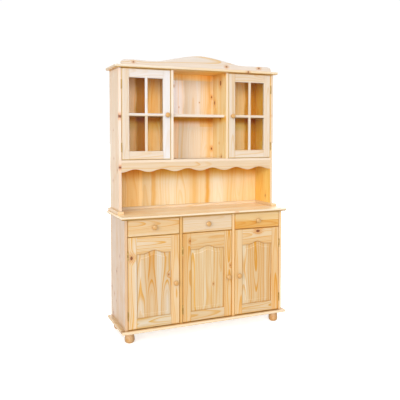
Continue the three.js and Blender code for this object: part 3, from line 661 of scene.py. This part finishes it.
# One face of each of the hutch's uprights: the inner ones of the sides and the left ones of the dividers
SIDE_LEFT_FACE = (2, -0.5580, -0.5572)
SIDE_RIGHT_FACE = (2, 0.5580, 0.5572)
DIVIDER_LEFT_FACE = (2, -0.2130, -0.2138)
DIVIDER_RIGHT_FACE = (2, 0.1972, 0.1962)
boards = {
    "base_side_left": dict(
        BASE_UPRIGHT, vary=0.08, tone=0.26, figure=0.95, knots=0.1, tint=(0.79, 0.66, 0.55),
        placed=[(0.431, 0.036, -0.006), (0.298, 0.17, -0.006), (0.263, 0.103, 0.0045), (0.228, 0.052, 0.004)],
    ),
    "base_side_right": dict(BASE_UPRIGHT, vary=0.08, tone=0.32, figure=0.8, knots=0.2),
    "base_divider_left": dict(BASE_UPRIGHT, tone=0.62, tint=(0.84, 0.79, 0.57), tints=DIVIDER_GAP_SHADE),
    "base_divider_right": dict(BASE_UPRIGHT, tone=0.58, tint=(0.97, 0.93, 0.83), tints=DIVIDER_GAP_SHADE),
    "plinth_board": dict(
        BASE_LEVEL, vary=0.05, figure=0.8, knots=0.05, tint=(0.95, 0.93, 0.87),
        # Painted highlight: a paler front edge. Painted shadow of the gap under the doors on the top behind
        # it, taken back further in
        bands=[(1, -0.184, -0.188, -0.25, 0)],
        tints=[(1, -0.1790, -0.1730, (0.62, 0.45, 0.25)), (1, -0.150, -0.149, (1.61, 2.22, 4.0))],
    ),
    "worktop": dict(
        # Painted highlight: a paler front edge under a duller tint. Painted shadow: a dark line on the lower
        # part of the edge and the underside
        BASE_LEVEL, knots=0.08, tint=(1.36, 1.44, 1.5), bands=[(1, -0.184, -0.188, -0.1, 0)],
        tints=[(1, -0.184, -0.188, (0.73, 0.72, 0.72)), (2, 0.8110, 0.8095, (0.5, 0.33, 0.08))],
    ),
    "base_back_panel": dict(grain="Z", face="Y", strip=0.2, vary=0.05, tone=0.4, figure=0.7),
    "drawer_frame": dict(grain="X", face="Z", tone=0.45, figure=0.8),
    "base_shelf": dict(BASE_LEVEL, tone=0.4, figure=0.8),
    "hutch_side_left": dict(
        # Painted warm shade on the inner face, in the bay behind the glass. Painted shade on the lower part,
        # darker below about 1.12 m
        HUTCH_UPRIGHT, tone=0.18, knots=0.15, tint=(1.07, 0.95, 0.83), bands=[(*SIDE_LEFT_FACE, 0.6, 0)],
        placed=[(1.459, -0.036, -0.006), (1.127, -0.037, -0.0045), (1.371, 0.095, 0.003),
                (1.182, 0.087, 0.004), (1.031, 0.114, -0.0045)],
        tints=[(0, 1.24, 1.12, (0.90, 0.84, 0.74)), (1, -0.0378, -0.0383, (0.95, 0.97, 1.14))],
    ),
    "hutch_side_right": dict(
        # On the inner face: painted warm light, a higher tone and a golden tint, stronger above the hutch's
        # floor behind the glass
        HUTCH_UPRIGHT, figure=0.9, knots=0.15, tint=(0.88, 0.86, 0.86),
        bands=[(*SIDE_RIGHT_FACE, 0.4, 0)],
        tints=[(*SIDE_RIGHT_FACE, (1.4, 1.42, 0.74)), (0, 1.15, 1.18, (1.15, 1.12, 0.75), SIDE_RIGHT_FACE)],
    ),
    "hutch_divider_left": dict(
        # Painted warm light on the left face, seen in the left bay behind the glass
        HUTCH_UPRIGHT, tone=0.28, figure=0.8, tint=(0.98, 0.97, 0.98), bands=[(*DIVIDER_LEFT_FACE, 0.45, 0)],
        tints=[(*DIVIDER_LEFT_FACE, (1.12, 1.03, 0.7))],
    ),
    "hutch_divider_right": dict(
        # On the left face, in the open bay: painted light all over, painted shade under the shelf and painted
        # warm shade at the top under the cornice
        HUTCH_UPRIGHT, tint=(0.98, 0.98, 0.99), bands=[(*DIVIDER_RIGHT_FACE, 0.2, 0)],
        placed=[(1.709, 0.05, -0.012), (1.574, 0.152, -0.009), (1.185, 0.036, -0.006),
                (1.458, 0.053, -0.006)],
        tints=[(*DIVIDER_RIGHT_FACE, (1.17, 1.24, 1.05)),
               (0, 1.405, 1.462, (1.04, 0.76, 0.22), (0, 1.475, 1.468), DIVIDER_RIGHT_FACE),
               (0, 1.725, 1.765, (1.12, 0.9, 0.5), DIVIDER_RIGHT_FACE)],
    ),
    # Painted shade on the underside
    "hutch_floor": dict(HUTCH_LEVEL, tone=0.15, tint=(0.92, 0.93, 0.98),
                        tints=[(2, 1.1578, 1.1568, (0.9, 0.78, 0.6))]),
    # Painted shade on the underside, and on the lowest part of the front edge
    "hutch_shelf": dict(HUTCH_LEVEL, tone=0.2, tint=(0.88, 0.87, 0.9),
                        tints=[(2, SHELF_LOW + 0.0008, SHELF_LOW + 0.0002, (1.02, 0.74, 0.2))]),
    "back_rail": dict(LENGTHWISE, figure=0.8),
    "cornice_board": dict(
        HUTCH_LEVEL, figure=0.7, tint=(0.99, 0.96, 0.86), placed=[(0.358, -0.060, 0.005)],
        # Painted highlight: a whiter front edge, more so on its left part. Painted shade on the lower part of
        # the edge, and painted golden light and shade on the underside
        tints=[(1, -0.056, -0.060, (0.98, 1.1, 1.35)), (1, -0.056, -0.060, (1.0, 1.12, 1.4), (0, 0.1, -0.3)),
               (2, 1.7803, 1.7783, (0.92, 0.7, 0.34)), (2, 1.7752, 1.7742, (1.6, 1.6, 1.1))],
    ),
    "pediment": dict(
        LENGTHWISE, tone=0.26, figure=0.9, knots=0.05, pith=(0.02, 0.07), tint=(0.82, 0.9, 1.1),
        placed=[(-0.473, 1.812, -0.004), (0.199, 1.815, -0.005), (0.457, 1.816, -0.005)],
    ),
    "apron": dict(LENGTHWISE, tone=0.34, figure=1.15, knots=0.03, pith=(0.02, 0.07), tint=(0.82, 0.79, 0.75)),
    "sill_block_left": dict(CROSSWISE, tone=0.5, figure=0.9),
    "sill_block_right": dict(CROSSWISE, tone=0.5, figure=0.9),
    "drawer_front_left": dict(DRAWER_FRONT, tone=0.5, pith=(0.03, 0.05), tint=(0.88, 0.88, 0.86)),
    "drawer_front_middle": dict(DRAWER_FRONT, tone=0.3, figure=0.8, pith=(0.05, 0.09),
                                tint=(0.84, 0.80, 0.74)),
    "drawer_front_right": dict(DRAWER_FRONT, tone=0.5, pith=(-0.02, 0.04), tint=(0.90, 0.91, 0.8),
                               bands=[(1, 0.748, 0.738, 0.45, 0.012)]),
    "drawer_box_left": dict(CROSSWISE, tone=0.3, figure=0.6),
    "drawer_box_middle": dict(CROSSWISE, tone=0.25, figure=0.6),
    "drawer_box_right": dict(CROSSWISE, tone=0.3, figure=0.6),
    "base_door_panel_left": dict(
        PANEL, vary=0.03, figure=1.4, placed=[(0.426, -0.279, 0.0045)], tint=(0.765, 0.735, 0.68),
        bands=[(1, -0.38, -0.35, -0.25, 0.02)],
    ),
    "base_door_panel_middle": dict(
        PANEL, vary=0.035, tone=0.44, placed=[(0.33, 0.042, 0.0035)], tint=(0.80, 0.79, 0.72),
        bands=[(1, 0.0, -0.02, -0.12, 0.02)],
    ),
    "base_door_panel_right": dict(PANEL, strip=0.12, vary=0.04, pith=(0.0, 0.04), tint=(0.76, 0.68, 0.53)),
}

# Tints of a panel by the depth behind its front: a painted highlight on the slope, painted shade lower on it
# and at its foot. Then a tint on its rear
PANEL_HIGHLIGHT_AND_SHADE = (
    (0.0001, 0.0004, (1.28, 1.4, 1.8)),
    (0.0017, 0.0021, (0.78, 0.72, 0.56)),
    (0.0038, 0.0042, (0.84, 0.72, 0.55)),
)
PANEL_REAR_TINT = (-0.002, -0.001, (1.5, 1.7, 2.2))
for count, (node, look) in enumerate(boards.items()):
    drawer = node.startswith("drawer_front")
    if drawer:
        look["rim"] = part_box(node)
    if node.startswith("base_door_panel"):
        front, rear = [corner.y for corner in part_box(node)]
        depths = [(front, *shade) for shade in PANEL_HIGHLIGHT_AND_SHADE] + [(rear, *PANEL_REAR_TINT)]
        look["tints"] = [(2, at + start, at + full, tint) for at, start, full, tint in depths]
    dress(node, board_material(node + "_pine", centre=middle(node), seed=seed_of(BOARD_SEEDS, count), **look))
    if drawer:
        dull_edges(node, *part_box(node))

# The hutch's back. Tones board by board, in the recess below and in the bays above, where they are partly the
# boards' own and partly painted light and shade
BACK_TONES = (0.72, 0.74, 0.6, 0.52, 0.3, 0.34, 0.58, 0.46, 0.36, 0.47, 0.58, 0.62)
BACK_UPPER_TONES = (0.3, 0.3, 1.0, 0.55, 0.0, 0.34, 0.34, 0.5, 0.6, 0.5, 0.5, 0.8)

# Streaks as (x, half width, change of tone, bottom, top)
BACK_STREAKS = (
    (-0.263, 0.028, 0.38, 0.8, 1.16),
    (0.154, 0.026, 0.6, 0.8, 1.16),
    (0.045, 0.05, 0.2, 0.8, 1.16),
    (0.165, 0.03, 0.3, 1.16, 1.78),
)

# Knots as (z, x, size)
BACK_KNOTS = ((1.576, 0.089, 0.002), (1.539, -0.072, 0.002), (1.618, 0.187, -0.005), (1.239, 0.186, -0.006),
              (1.689, -0.114, 0.004))

# Painted shade under the boards above, and one painted lift of light under the shelf, as (where it begins,
# where it is whole, where it ends, tint)
BACK_PAINTED_SHADING = (
    (1.0, 1.11, 1.13, (0.98, 0.77, 0.38)),
    (1.0, 1.105, 1.13, (0.93, 0.63, 0.04)),
    (1.38, 1.42, 1.474, (1.15, 1.07, 1.05)),
    (1.41, 1.45, 1.474, (0.68, 0.38, 0.02)),
    (1.725, 1.765, 1.78, (1.22, 1.0, 0.56)),
)

# Behind the glass only: painted warm light all over, and one more painted shade under the shelf
GLAZED_PAINTED_LIGHT = (1.42, 1.2, 0.85)
GLAZED_PAINTED_SHADE = (1.35, 1.43, SHELF_LOW + 0.011, (0.8, 0.86, 0.5))

# Patches of painted light, sheen and shade, as (x, half width, bottom, top, tint)
BACK_PAINTED_PATCHES = (
    (-0.45, 0.055, 1.16, 1.73, (1.08, 1.02, 1.25)),
    (-0.45, 0.055, 1.16, 1.43, (0.9, 0.82, 0.62)),
    (-0.35, 0.04, 1.16, 1.78, (0.6, 0.41, 0.07)),
    (-0.085, 0.05, 1.46, 1.73, (1.34, 1.46, 1.78)),
    (0.088, 0.022, 1.46, 1.73, (1.0, 1.1, 1.3)),
    (-0.13, 0.05, 1.16, 1.45, (1.22, 1.0, 0.78)),
    (0.0, 0.19, 1.16, 1.78, (0.98, 1.01, 1.18)),
    (0.0, 0.19, 1.732, 1.78, (1.18, 1.08, 0.8)),
    (0.522, 0.056, 1.16, 1.78, (0.7, 0.54, 0.1)),
    (0.425, 0.035, 1.16, 1.78, (1.14, 1.22, 1.4)),
    (-0.26, 0.045, 1.16, 1.78, (1.05, 1.12, 1.3)),
    (0.15, 0.06, 1.4, 1.475, (0.98, 0.88, 0.55)),
    (-0.45, 0.1, 0.8, 1.16, (1.25, 1.2, 1.06)),
)


def back_material():
    """The hutch's back: vertical boards with soft changes of tone, painted shade under each board above them,
    and painted light, sheen and shade in patches.
    """
    made, net, shader = new_material("hutch_back_pine")
    along, across, deep = in_board_order(net.split(net.place()), "Z", "Y")
    low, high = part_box("hutch_back_panel")
    pitch = (high.x - low.x) / BACK_BOARDS
    share = net.over(net.minus(across, low.x), high.x - low.x)
    lower_tone, upper_tone = [
        net.stops(share, *[((i + 0.5) / BACK_BOARDS, (t, t, t, 1)) for i, t in enumerate(tones)])
        for tones in (BACK_TONES, BACK_UPPER_TONES)
    ]
    front = net.less(deep, (low.y + high.y) / 2)
    upper = net.times(front, net.more(along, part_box("hutch_floor")[1].z))
    tone = net.mix(upper, net.mix(front, 0.42, lower_tone, "FLOAT"), upper_tone, "FLOAT")
    wander = net.times_plus(net.line_noise(along, 9.0, 2.0), 0.016, -0.008)
    uneven = net.plus(across, wander)

    def strip_at(x, bottom, top, *edge):
        """One in a strip with uneven edges round x, on the front from bottom to top."""
        there = net.times(net.between(along, bottom, top), front)
        return net.times(there, net.ramp(net.apart(uneven, x), *edge))

    for x, half, change, bottom, top in BACK_STREAKS:
        tone = net.plus(tone, strip_at(x, bottom, top, 0.0, half, change, 0.0))
    middle_across = low.x + pitch / 2
    place = net.join(along, net.minus(across, middle_across), net.minus(deep, low.y))
    placed = [(z, x - middle_across, size) for z, x, size in BACK_KNOTS]
    shade = finish_pine(net, shader, place, BACK_SEED, tone, placed, figure=0.65, pith=(0.0, 0.06),
                        ring=0.0065, strip=pitch, vary=0.03, knots=0.0, tint=(1.06, 1.08, 1.02),
                        gloss=BACK_GLOSS, coat=BACK_COAT)
    open_bay = net.less(net.math("ABSOLUTE", across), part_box("hutch_divider_right")[0].x)
    glazed = net.times(upper, net.minus(1.0, open_bay))

    # Paints shade under a board above. An entry with a tint above one paints light instead
    def paint_shading_under(shade, where, start, full, end, local_tint):
        under = net.times(net.ramp(along, start, full), net.less(along, end))
        return multiply_by(net, shade, net.times(under, where), local_tint)

    for under_board in BACK_PAINTED_SHADING:
        shade = paint_shading_under(shade, front, *under_board)
    shade = paint_shading_under(multiply_by(net, shade, glazed, GLAZED_PAINTED_LIGHT), glazed, *GLAZED_PAINTED_SHADE)
    # Patches of painted light, sheen and shade
    for x, half, bottom, top, local_tint in BACK_PAINTED_PATCHES:
        there = strip_at(x, bottom, top, half - 0.008, half + 0.012, 1.0, 0.0)
        shade = multiply_by(net, shade, there, local_tint)
    net.put(shade, shader.inputs["Base Color"])
    return made


dress("hutch_back_panel", back_material())
brass = brass_material()
glass = glass_material()

# Door frames. The hinge's half that is one solid with the door is brass
doors = {
    "base_door_frame_left": dict(
        tones=(0.45, 0.5, 0.45, 0.44), placed=[(0, 0.556, -0.531, -0.0085)], tint=(0.89, 0.9, 0.91),
        low_rail=(0.86, 0.94, 1.05),
    ),
    "base_door_frame_middle": dict(
        tones=(0.6, 0.58, 0.48, 0.5), placed=[(0, 0.635, -0.13, 0.005), (1, 0.445, 0.169, 0.004)],
        tint=(0.84, 0.81, 0.72), low_rail=(0.92, 0.96, 1.04),
    ),
    "base_door_frame_right": dict(
        tones=(0.4, 0.45, 0.4, 0.45), placed=[(3, 0.385, 0.668, -0.0095)], tint=(0.86, 0.8, 0.68),
        low_rail=(0.89, 0.94, 1.02),
    ),
    "glazed_door_frame_left": dict(
        # Its side edges take a lighter painted shade of the gap
        tones=(0.33, 0.0, 0.36, 0.05), tint=(0.86, 0.91, 1.05), side_edge=(1.35, 1.2, 0.85),
    ),
    "glazed_door_frame_right": dict(tones=(0.15, 0.2, 0.15, 0.2), tint=(0.83, 0.82, 0.83)),
}
for count, (node, look) in enumerate(doors.items()):
    if node.startswith("glazed"):
        stile, (low_height, high_height) = GLAZED_STILE, GLAZED_RAILS
        look.update(bar=GLAZING_BAR, figure=0.75)
    else:
        stile, (low_height, high_height) = STILE, RAILS
        look.update(figure=1.4, gloss=FRONT_GLOSS)
    low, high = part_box(node)
    front = high.y - BOARD
    knuckle = KNUCKLE_RADIUS + PIN_TO_LEAF
    hung_right = node.endswith("right")
    # The plate without the knuckle. Its rear is left at 0, so the rear's border is shaded as an edge
    plate_low = (low.x + (0 if hung_right else knuckle), front, low.z)
    plate_high = (high.x - (knuckle if hung_right else 0), 0, high.z)
    opening = (low.z + low_height, high.z - high_height)
    dress(node, frame_material(node + "_pine", plate_low, plate_high, stile, opening,
                               seed_of(DOOR_SEEDS, count), **look))
    mesh = nodes[node].data
    mesh.materials.append(brass)
    for face in mesh.polygons:
        at = face.center
        if at.y < front - PAST_FRONT or not plate_low[0] - PAST_SIDE <= at.x <= plate_high[0] + PAST_SIDE:
            face.material_index = 1
    dull_edges(node, plate_low, plate_high)
for side in ("left", "right"):
    dress(f"glazed_door_glass_{side}", glass)
for node in nodes:
    if node.startswith("hinge_"):
        dress(node, brass)

# Softened edges and smooth mouldings on the CAD pieces
SHARP_ANGLE = math.radians(38)
EDGE_ANGLE = math.radians(60)
EDGE_EASE = 0.0009
WELD_REACH = 0.000002
NOT_EASED = ("hinge_", "base_door_", "glazed_door_", "hutch_back", "base_back")


def smooth(piece):
    """Shades curved faces smoothly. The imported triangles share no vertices, so a modifier joins them."""
    mesh = piece.data
    if "custom_normal" in mesh.attributes:
        mesh.attributes.remove(mesh.attributes["custom_normal"])
    spots = [tuple(round(c, 6) for c in vertex.co) for vertex in mesh.vertices]
    sides = {}
    for face in mesh.polygons:
        for ends in face.edge_keys:
            sides.setdefault(frozenset(spots[i] for i in ends), []).append(face.normal)
    mesh.polygons.foreach_set("use_smooth", [True] * len(mesh.polygons))
    for edge in mesh.edges:
        pair = sides[frozenset(spots[i] for i in edge.vertices)]
        edge.use_edge_sharp = len(pair) != 2 or pair[0].angle(pair[1], 0) > SHARP_ANGLE
    weld = piece.modifiers.new("weld", "WELD")
    weld.merge_threshold = WELD_REACH


def ease(piece):
    """Takes the sharp edge off a plain board."""
    plain = piece.modifiers.new("plain_faces", "DECIMATE")
    plain.decimate_type = "DISSOLVE"
    plain.angle_limit = math.radians(0.5)
    eased = piece.modifiers.new("eased_edges", "BEVEL")
    eased.width = EDGE_EASE
    eased.segments = 2
    eased.limit_method = "ANGLE"
    eased.angle_limit = EDGE_ANGLE
    eased.harden_normals = True


for node, piece in nodes.items():
    smooth(piece)
    if not node.startswith(NOT_EASED):
        ease(piece)


def add_object(name, data):
    made = bpy.data.objects.new(name, data)
    bpy.context.scene.collection.objects.link(made)
    return made


def add_piece(name, made, body, material):
    mesh = bpy.data.meshes.new(name)
    made.to_mesh(mesh)
    made.free()
    piece = add_object(name, mesh)
    mesh.materials.append(material)
    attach(piece, body)
    return piece


# Turned pieces, with a smooth curve through the profile's points
def curve_through(points, steps):
    """Catmull-Rom points along a profile."""
    padded = [points[0]] + list(points) + [points[-1]]
    found = []
    for a, b, c, d in zip(padded, padded[1:], padded[2:], padded[3:]):
        for step in range(steps):
            t = step / steps
            found.append(tuple(
                0.5 * (2 * q + (r - p) * t + (2 * p - 5 * q + 4 * r - w) * t * t
                       + (3 * q - p - 3 * r + w) * t ** 3)
                for p, q, r, w in zip(a, b, c, d)
            ))
    return found + [points[-1]]


def body_with(node):
    return next(name for name, members in frame["record"]["behaviour"]["bodies"].items() if node in members)


def turned(node, radius_shares, length_shares, base, axis, material):
    """A turning in place of a CAD node. It starts at base and runs along axis."""
    low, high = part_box(node)
    size = high - low
    length = abs(size.dot(axis))
    radius = size.x / 2
    profile = curve_through(list(zip(radius_shares, length_shares)), TURNED_STEPS)
    across = Vector((1, 0, 0))
    up = axis.cross(across)
    made = bmesh.new()
    rings = []
    for r, level in profile:
        r = min(r, 1) * radius
        level = min(max(level, 0), 1) * length
        rings.append([
            made.verts.new(base + axis * level + across * (r * math.cos(a)) + up * (r * math.sin(a)))
            for a in (2 * math.pi * i / TURNED_SIDES for i in range(TURNED_SIDES))
        ])
    for lower, upper in zip(rings, rings[1:]):
        for i in range(TURNED_SIDES):
            j = (i + 1) % TURNED_SIDES
            made.faces.new((lower[i], lower[j], upper[j], upper[i]))
    made.faces.new(rings[0][::-1])
    tip = made.verts.new(base + axis * length)
    for i in range(TURNED_SIDES):
        made.faces.new((rings[-1][i], rings[-1][(i + 1) % TURNED_SIDES], tip))
    bmesh.ops.recalc_face_normals(made, faces=made.faces)
    piece = add_piece("turned_" + node, made, body_with(node), material)
    piece.data.polygons.foreach_set("use_smooth", [True] * len(piece.data.polygons))
    piece.data.set_sharp_from_angle(angle=SHARP_ANGLE)
    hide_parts(node)


for count, node in enumerate(sorted(nodes)):
    low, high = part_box(node)
    centre = middle(node)
    if node.startswith("foot_"):
        pine = board_material(
            node + "_pine", "Z", "Y", centre, seed_of(FOOT_SEEDS, count), pith=(0.02, 0.03), ring=0.0045,
            tone=0.8, figure=1.2, knots=0.0, tint=(0.72, 0.67, 0.63),
        )
        turned(node, FOOT_RADIUS_SHARES, FOOT_LEVEL_SHARES, Vector((centre.x, centre.y, low.z)),
               Vector((0, 0, 1)), pine)
    elif "_knob_" in node:
        pine = board_material(
            node + "_pine", "Y", "Z", centre, seed_of(KNOB_SEEDS, count), pith=(0.012, 0.02), ring=0.0032,
            tone=0.66, figure=1.1, knots=0.0, tint=(0.75, 0.66, 0.46),
        )
        turned(node, KNOB_RADIUS_SHARES, KNOB_LENGTH_SHARES, Vector((centre.x, high.y, centre.z)),
               Vector((0, -1, 0)), pine)


# Hinge leaves and their slotted screws
def slab(made, outline, x, thickness):
    """A plate in the plane of Y and Z, from x to x + thickness. Outline is (y, z) points."""
    near = [made.verts.new((x, y, z)) for y, z in outline]
    far = [made.verts.new((x + thickness, y, z)) for y, z in outline]
    count = len(outline)
    made.faces.new(near)
    made.faces.new(far[::-1])
    for i in range(count):
        j = (i + 1) % count
        made.faces.new((near[j], near[i], far[i], far[j]))


def screw(made, x, y, z, proud, slot_angle):
    """A slotted screw head: two half discs on a lower disc. Proud is its signed height along X."""
    circle = [(math.cos(a), math.sin(a)) for a in (2 * math.pi * i / SCREW_SIDES for i in range(SCREW_SIDES))]
    disc = [(y + SCREW_RADIUS * c, z + SCREW_RADIUS * s) for c, s in circle]
    slab(made, disc, x, proud * SCREW_FLOOR_SHARE)
    turn = (math.cos(slot_angle), math.sin(slot_angle))
    edge = math.asin(SCREW_SLOT / 2 / SCREW_RADIUS)
    steps = SCREW_SIDES // 2
    for half in (0, math.pi):
        arc = [half + edge + (math.pi - 2 * edge) * i / steps for i in range(steps + 1)]
        points = [(SCREW_RADIUS * math.cos(a), SCREW_RADIUS * math.sin(a)) for a in arc]
        outline = [(y + c * turn[0] - s * turn[1], z + c * turn[1] + s * turn[0]) for c, s in points]
        slab(made, outline, x, proud)


def leaf_outline(front, back, low, high):
    """A leaf's outline: square at the pin, rounded at the two far corners."""
    corners = []
    for z, start in ((low, -math.pi / 2), (high, 0)):
        inner = z + (LEAF_CORNER if z == low else -LEAF_CORNER)
        for i in range(7):
            a = start + math.pi / 2 * i / 6
            y = back - LEAF_CORNER + LEAF_CORNER * math.cos(a)
            corners.append((y, inner + LEAF_CORNER * math.sin(a)))
    return [(front, low)] + corners + [(front, high)]


for count, node in enumerate(sorted(n for n in nodes if n.startswith("hinge_"))):
    low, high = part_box(node)
    _, kind, side, _ = node.split("_")
    outwards = 1 if side == "right" else -1
    pin = (low.x + high.x) / 2
    level = (low.z + high.z) / 2
    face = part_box(f"{kind}_door_frame_{side}")[1].y - BOARD
    screw_y = face + LEAF_WIDTH * SCREW_LINE_SHARE
    edge = pin - outwards * PIN_TO_LEAF
    leaf, screws = bmesh.new(), bmesh.new()
    outline = leaf_outline(face + LEAF_SET_IN, face + LEAF_WIDTH, low.z, high.z)
    slab(leaf, outline, edge, outwards * LEAF_PROUD)
    for made, x, proud, turn, next_turn in (
        (leaf, edge + outwards * LEAF_PROUD, outwards * SCREW_PROUD, 0.9, 0.7),
        (screws, pin + outwards * PIN_TO_LEAF, -outwards * SCREW_PROUD, 1.3, 0.4),
    ):
        for i in (-1, 0, 1):
            screw(made, x, screw_y, level + i * SCREW_SPACING, proud, turn * i + next_turn * count)
        bmesh.ops.recalc_face_normals(made, faces=made.faces)
    place = node.removeprefix("hinge")
    add_piece("door_leaf" + place, leaf, f"{kind}_door_{side}", brass)
    add_piece("leaf_screws" + place, screws, "carcase", brass)

# Floor, lights and camera
floor_mesh = bpy.data.meshes.new("floor")
floor_corners = [(x * FLOOR_REACH, y * FLOOR_REACH, 0) for x, y in ((-1, -1), (1, -1), (1, 1), (-1, 1))]
floor_mesh.from_pydata(floor_corners, [], [(0, 1, 2, 3)])
floor = add_object("floor", floor_mesh)
paper, net, shader = new_material("floor_paper")
mottle = net.noise(net.place(), 3.0, 3.0)[0]
net.put(net.mix(mottle, (0.92, 0.92, 0.92, 1), (0.95, 0.95, 0.95, 1)), shader.inputs["Base Color"])
net.put(net.mix(mottle, (0.96, 0.96, 0.96, 1), (1, 1, 1, 1)), shader.inputs["Emission Color"])
shader.inputs["Emission Strength"].default_value = FLOOR_GLOW
shader.inputs["Roughness"].default_value = 0.9
floor_mesh.materials.append(paper)
floor.visible_diffuse = False
floor.visible_shadow = False


def soft_sun(name, azimuth, elevation, spread, strength):
    """A wide parallel light. Azimuth 0 shines from the front and 90 from the right, in degrees."""
    light = bpy.data.lights.new(name, "SUN")
    light.angle = math.radians(spread)
    light.energy = strength * math.pi
    add_object(name, light).rotation_euler = (math.radians(90 - elevation), 0, math.radians(azimuth))


# Name, azimuth, elevation, spread and strength
for light in (
    ("key", -12, 12, 34, 0.52),
    ("side_fill", -48, 12, 36, 0.73),
    ("overhead", 0, 70, 70, 0.42),
    ("floor_bounce", -20, -25, 60, 0.22),
    ("rear_fill", 150, 25, 60, 0.35),
):
    soft_sun(*light)
world = bpy.data.worlds.new("studio")
bpy.context.scene.world = world
world.use_nodes = True
sky = Net(world.node_tree)
backdrop = world.node_tree.nodes["Background"]
backdrop.inputs["Color"].default_value = (1, 1, 1, 1)
path = sky.node("ShaderNodeLightPath").outputs
strength = sky.times_plus(path["Is Camera Ray"], BACKDROP - SKY_FILL, SKY_FILL)
strength = sky.times_plus(path["Is Glossy Ray"], STUDIO - SKY_FILL, strength)
sky.put(strength, backdrop.inputs["Strength"])
bpy.context.scene.view_settings.view_transform = "Standard"

lens = bpy.data.cameras.new("photograph")
lens.lens = CAMERA_LENS
lens.shift_y = CAMERA_SHIFT
camera = add_object("photograph", lens)
camera.location = CAMERA_PLACE
camera.rotation_euler = (math.radians(90 - CAMERA_PITCH), 0, math.radians(-CAMERA_YAW))
bpy.context.scene.camera = camera
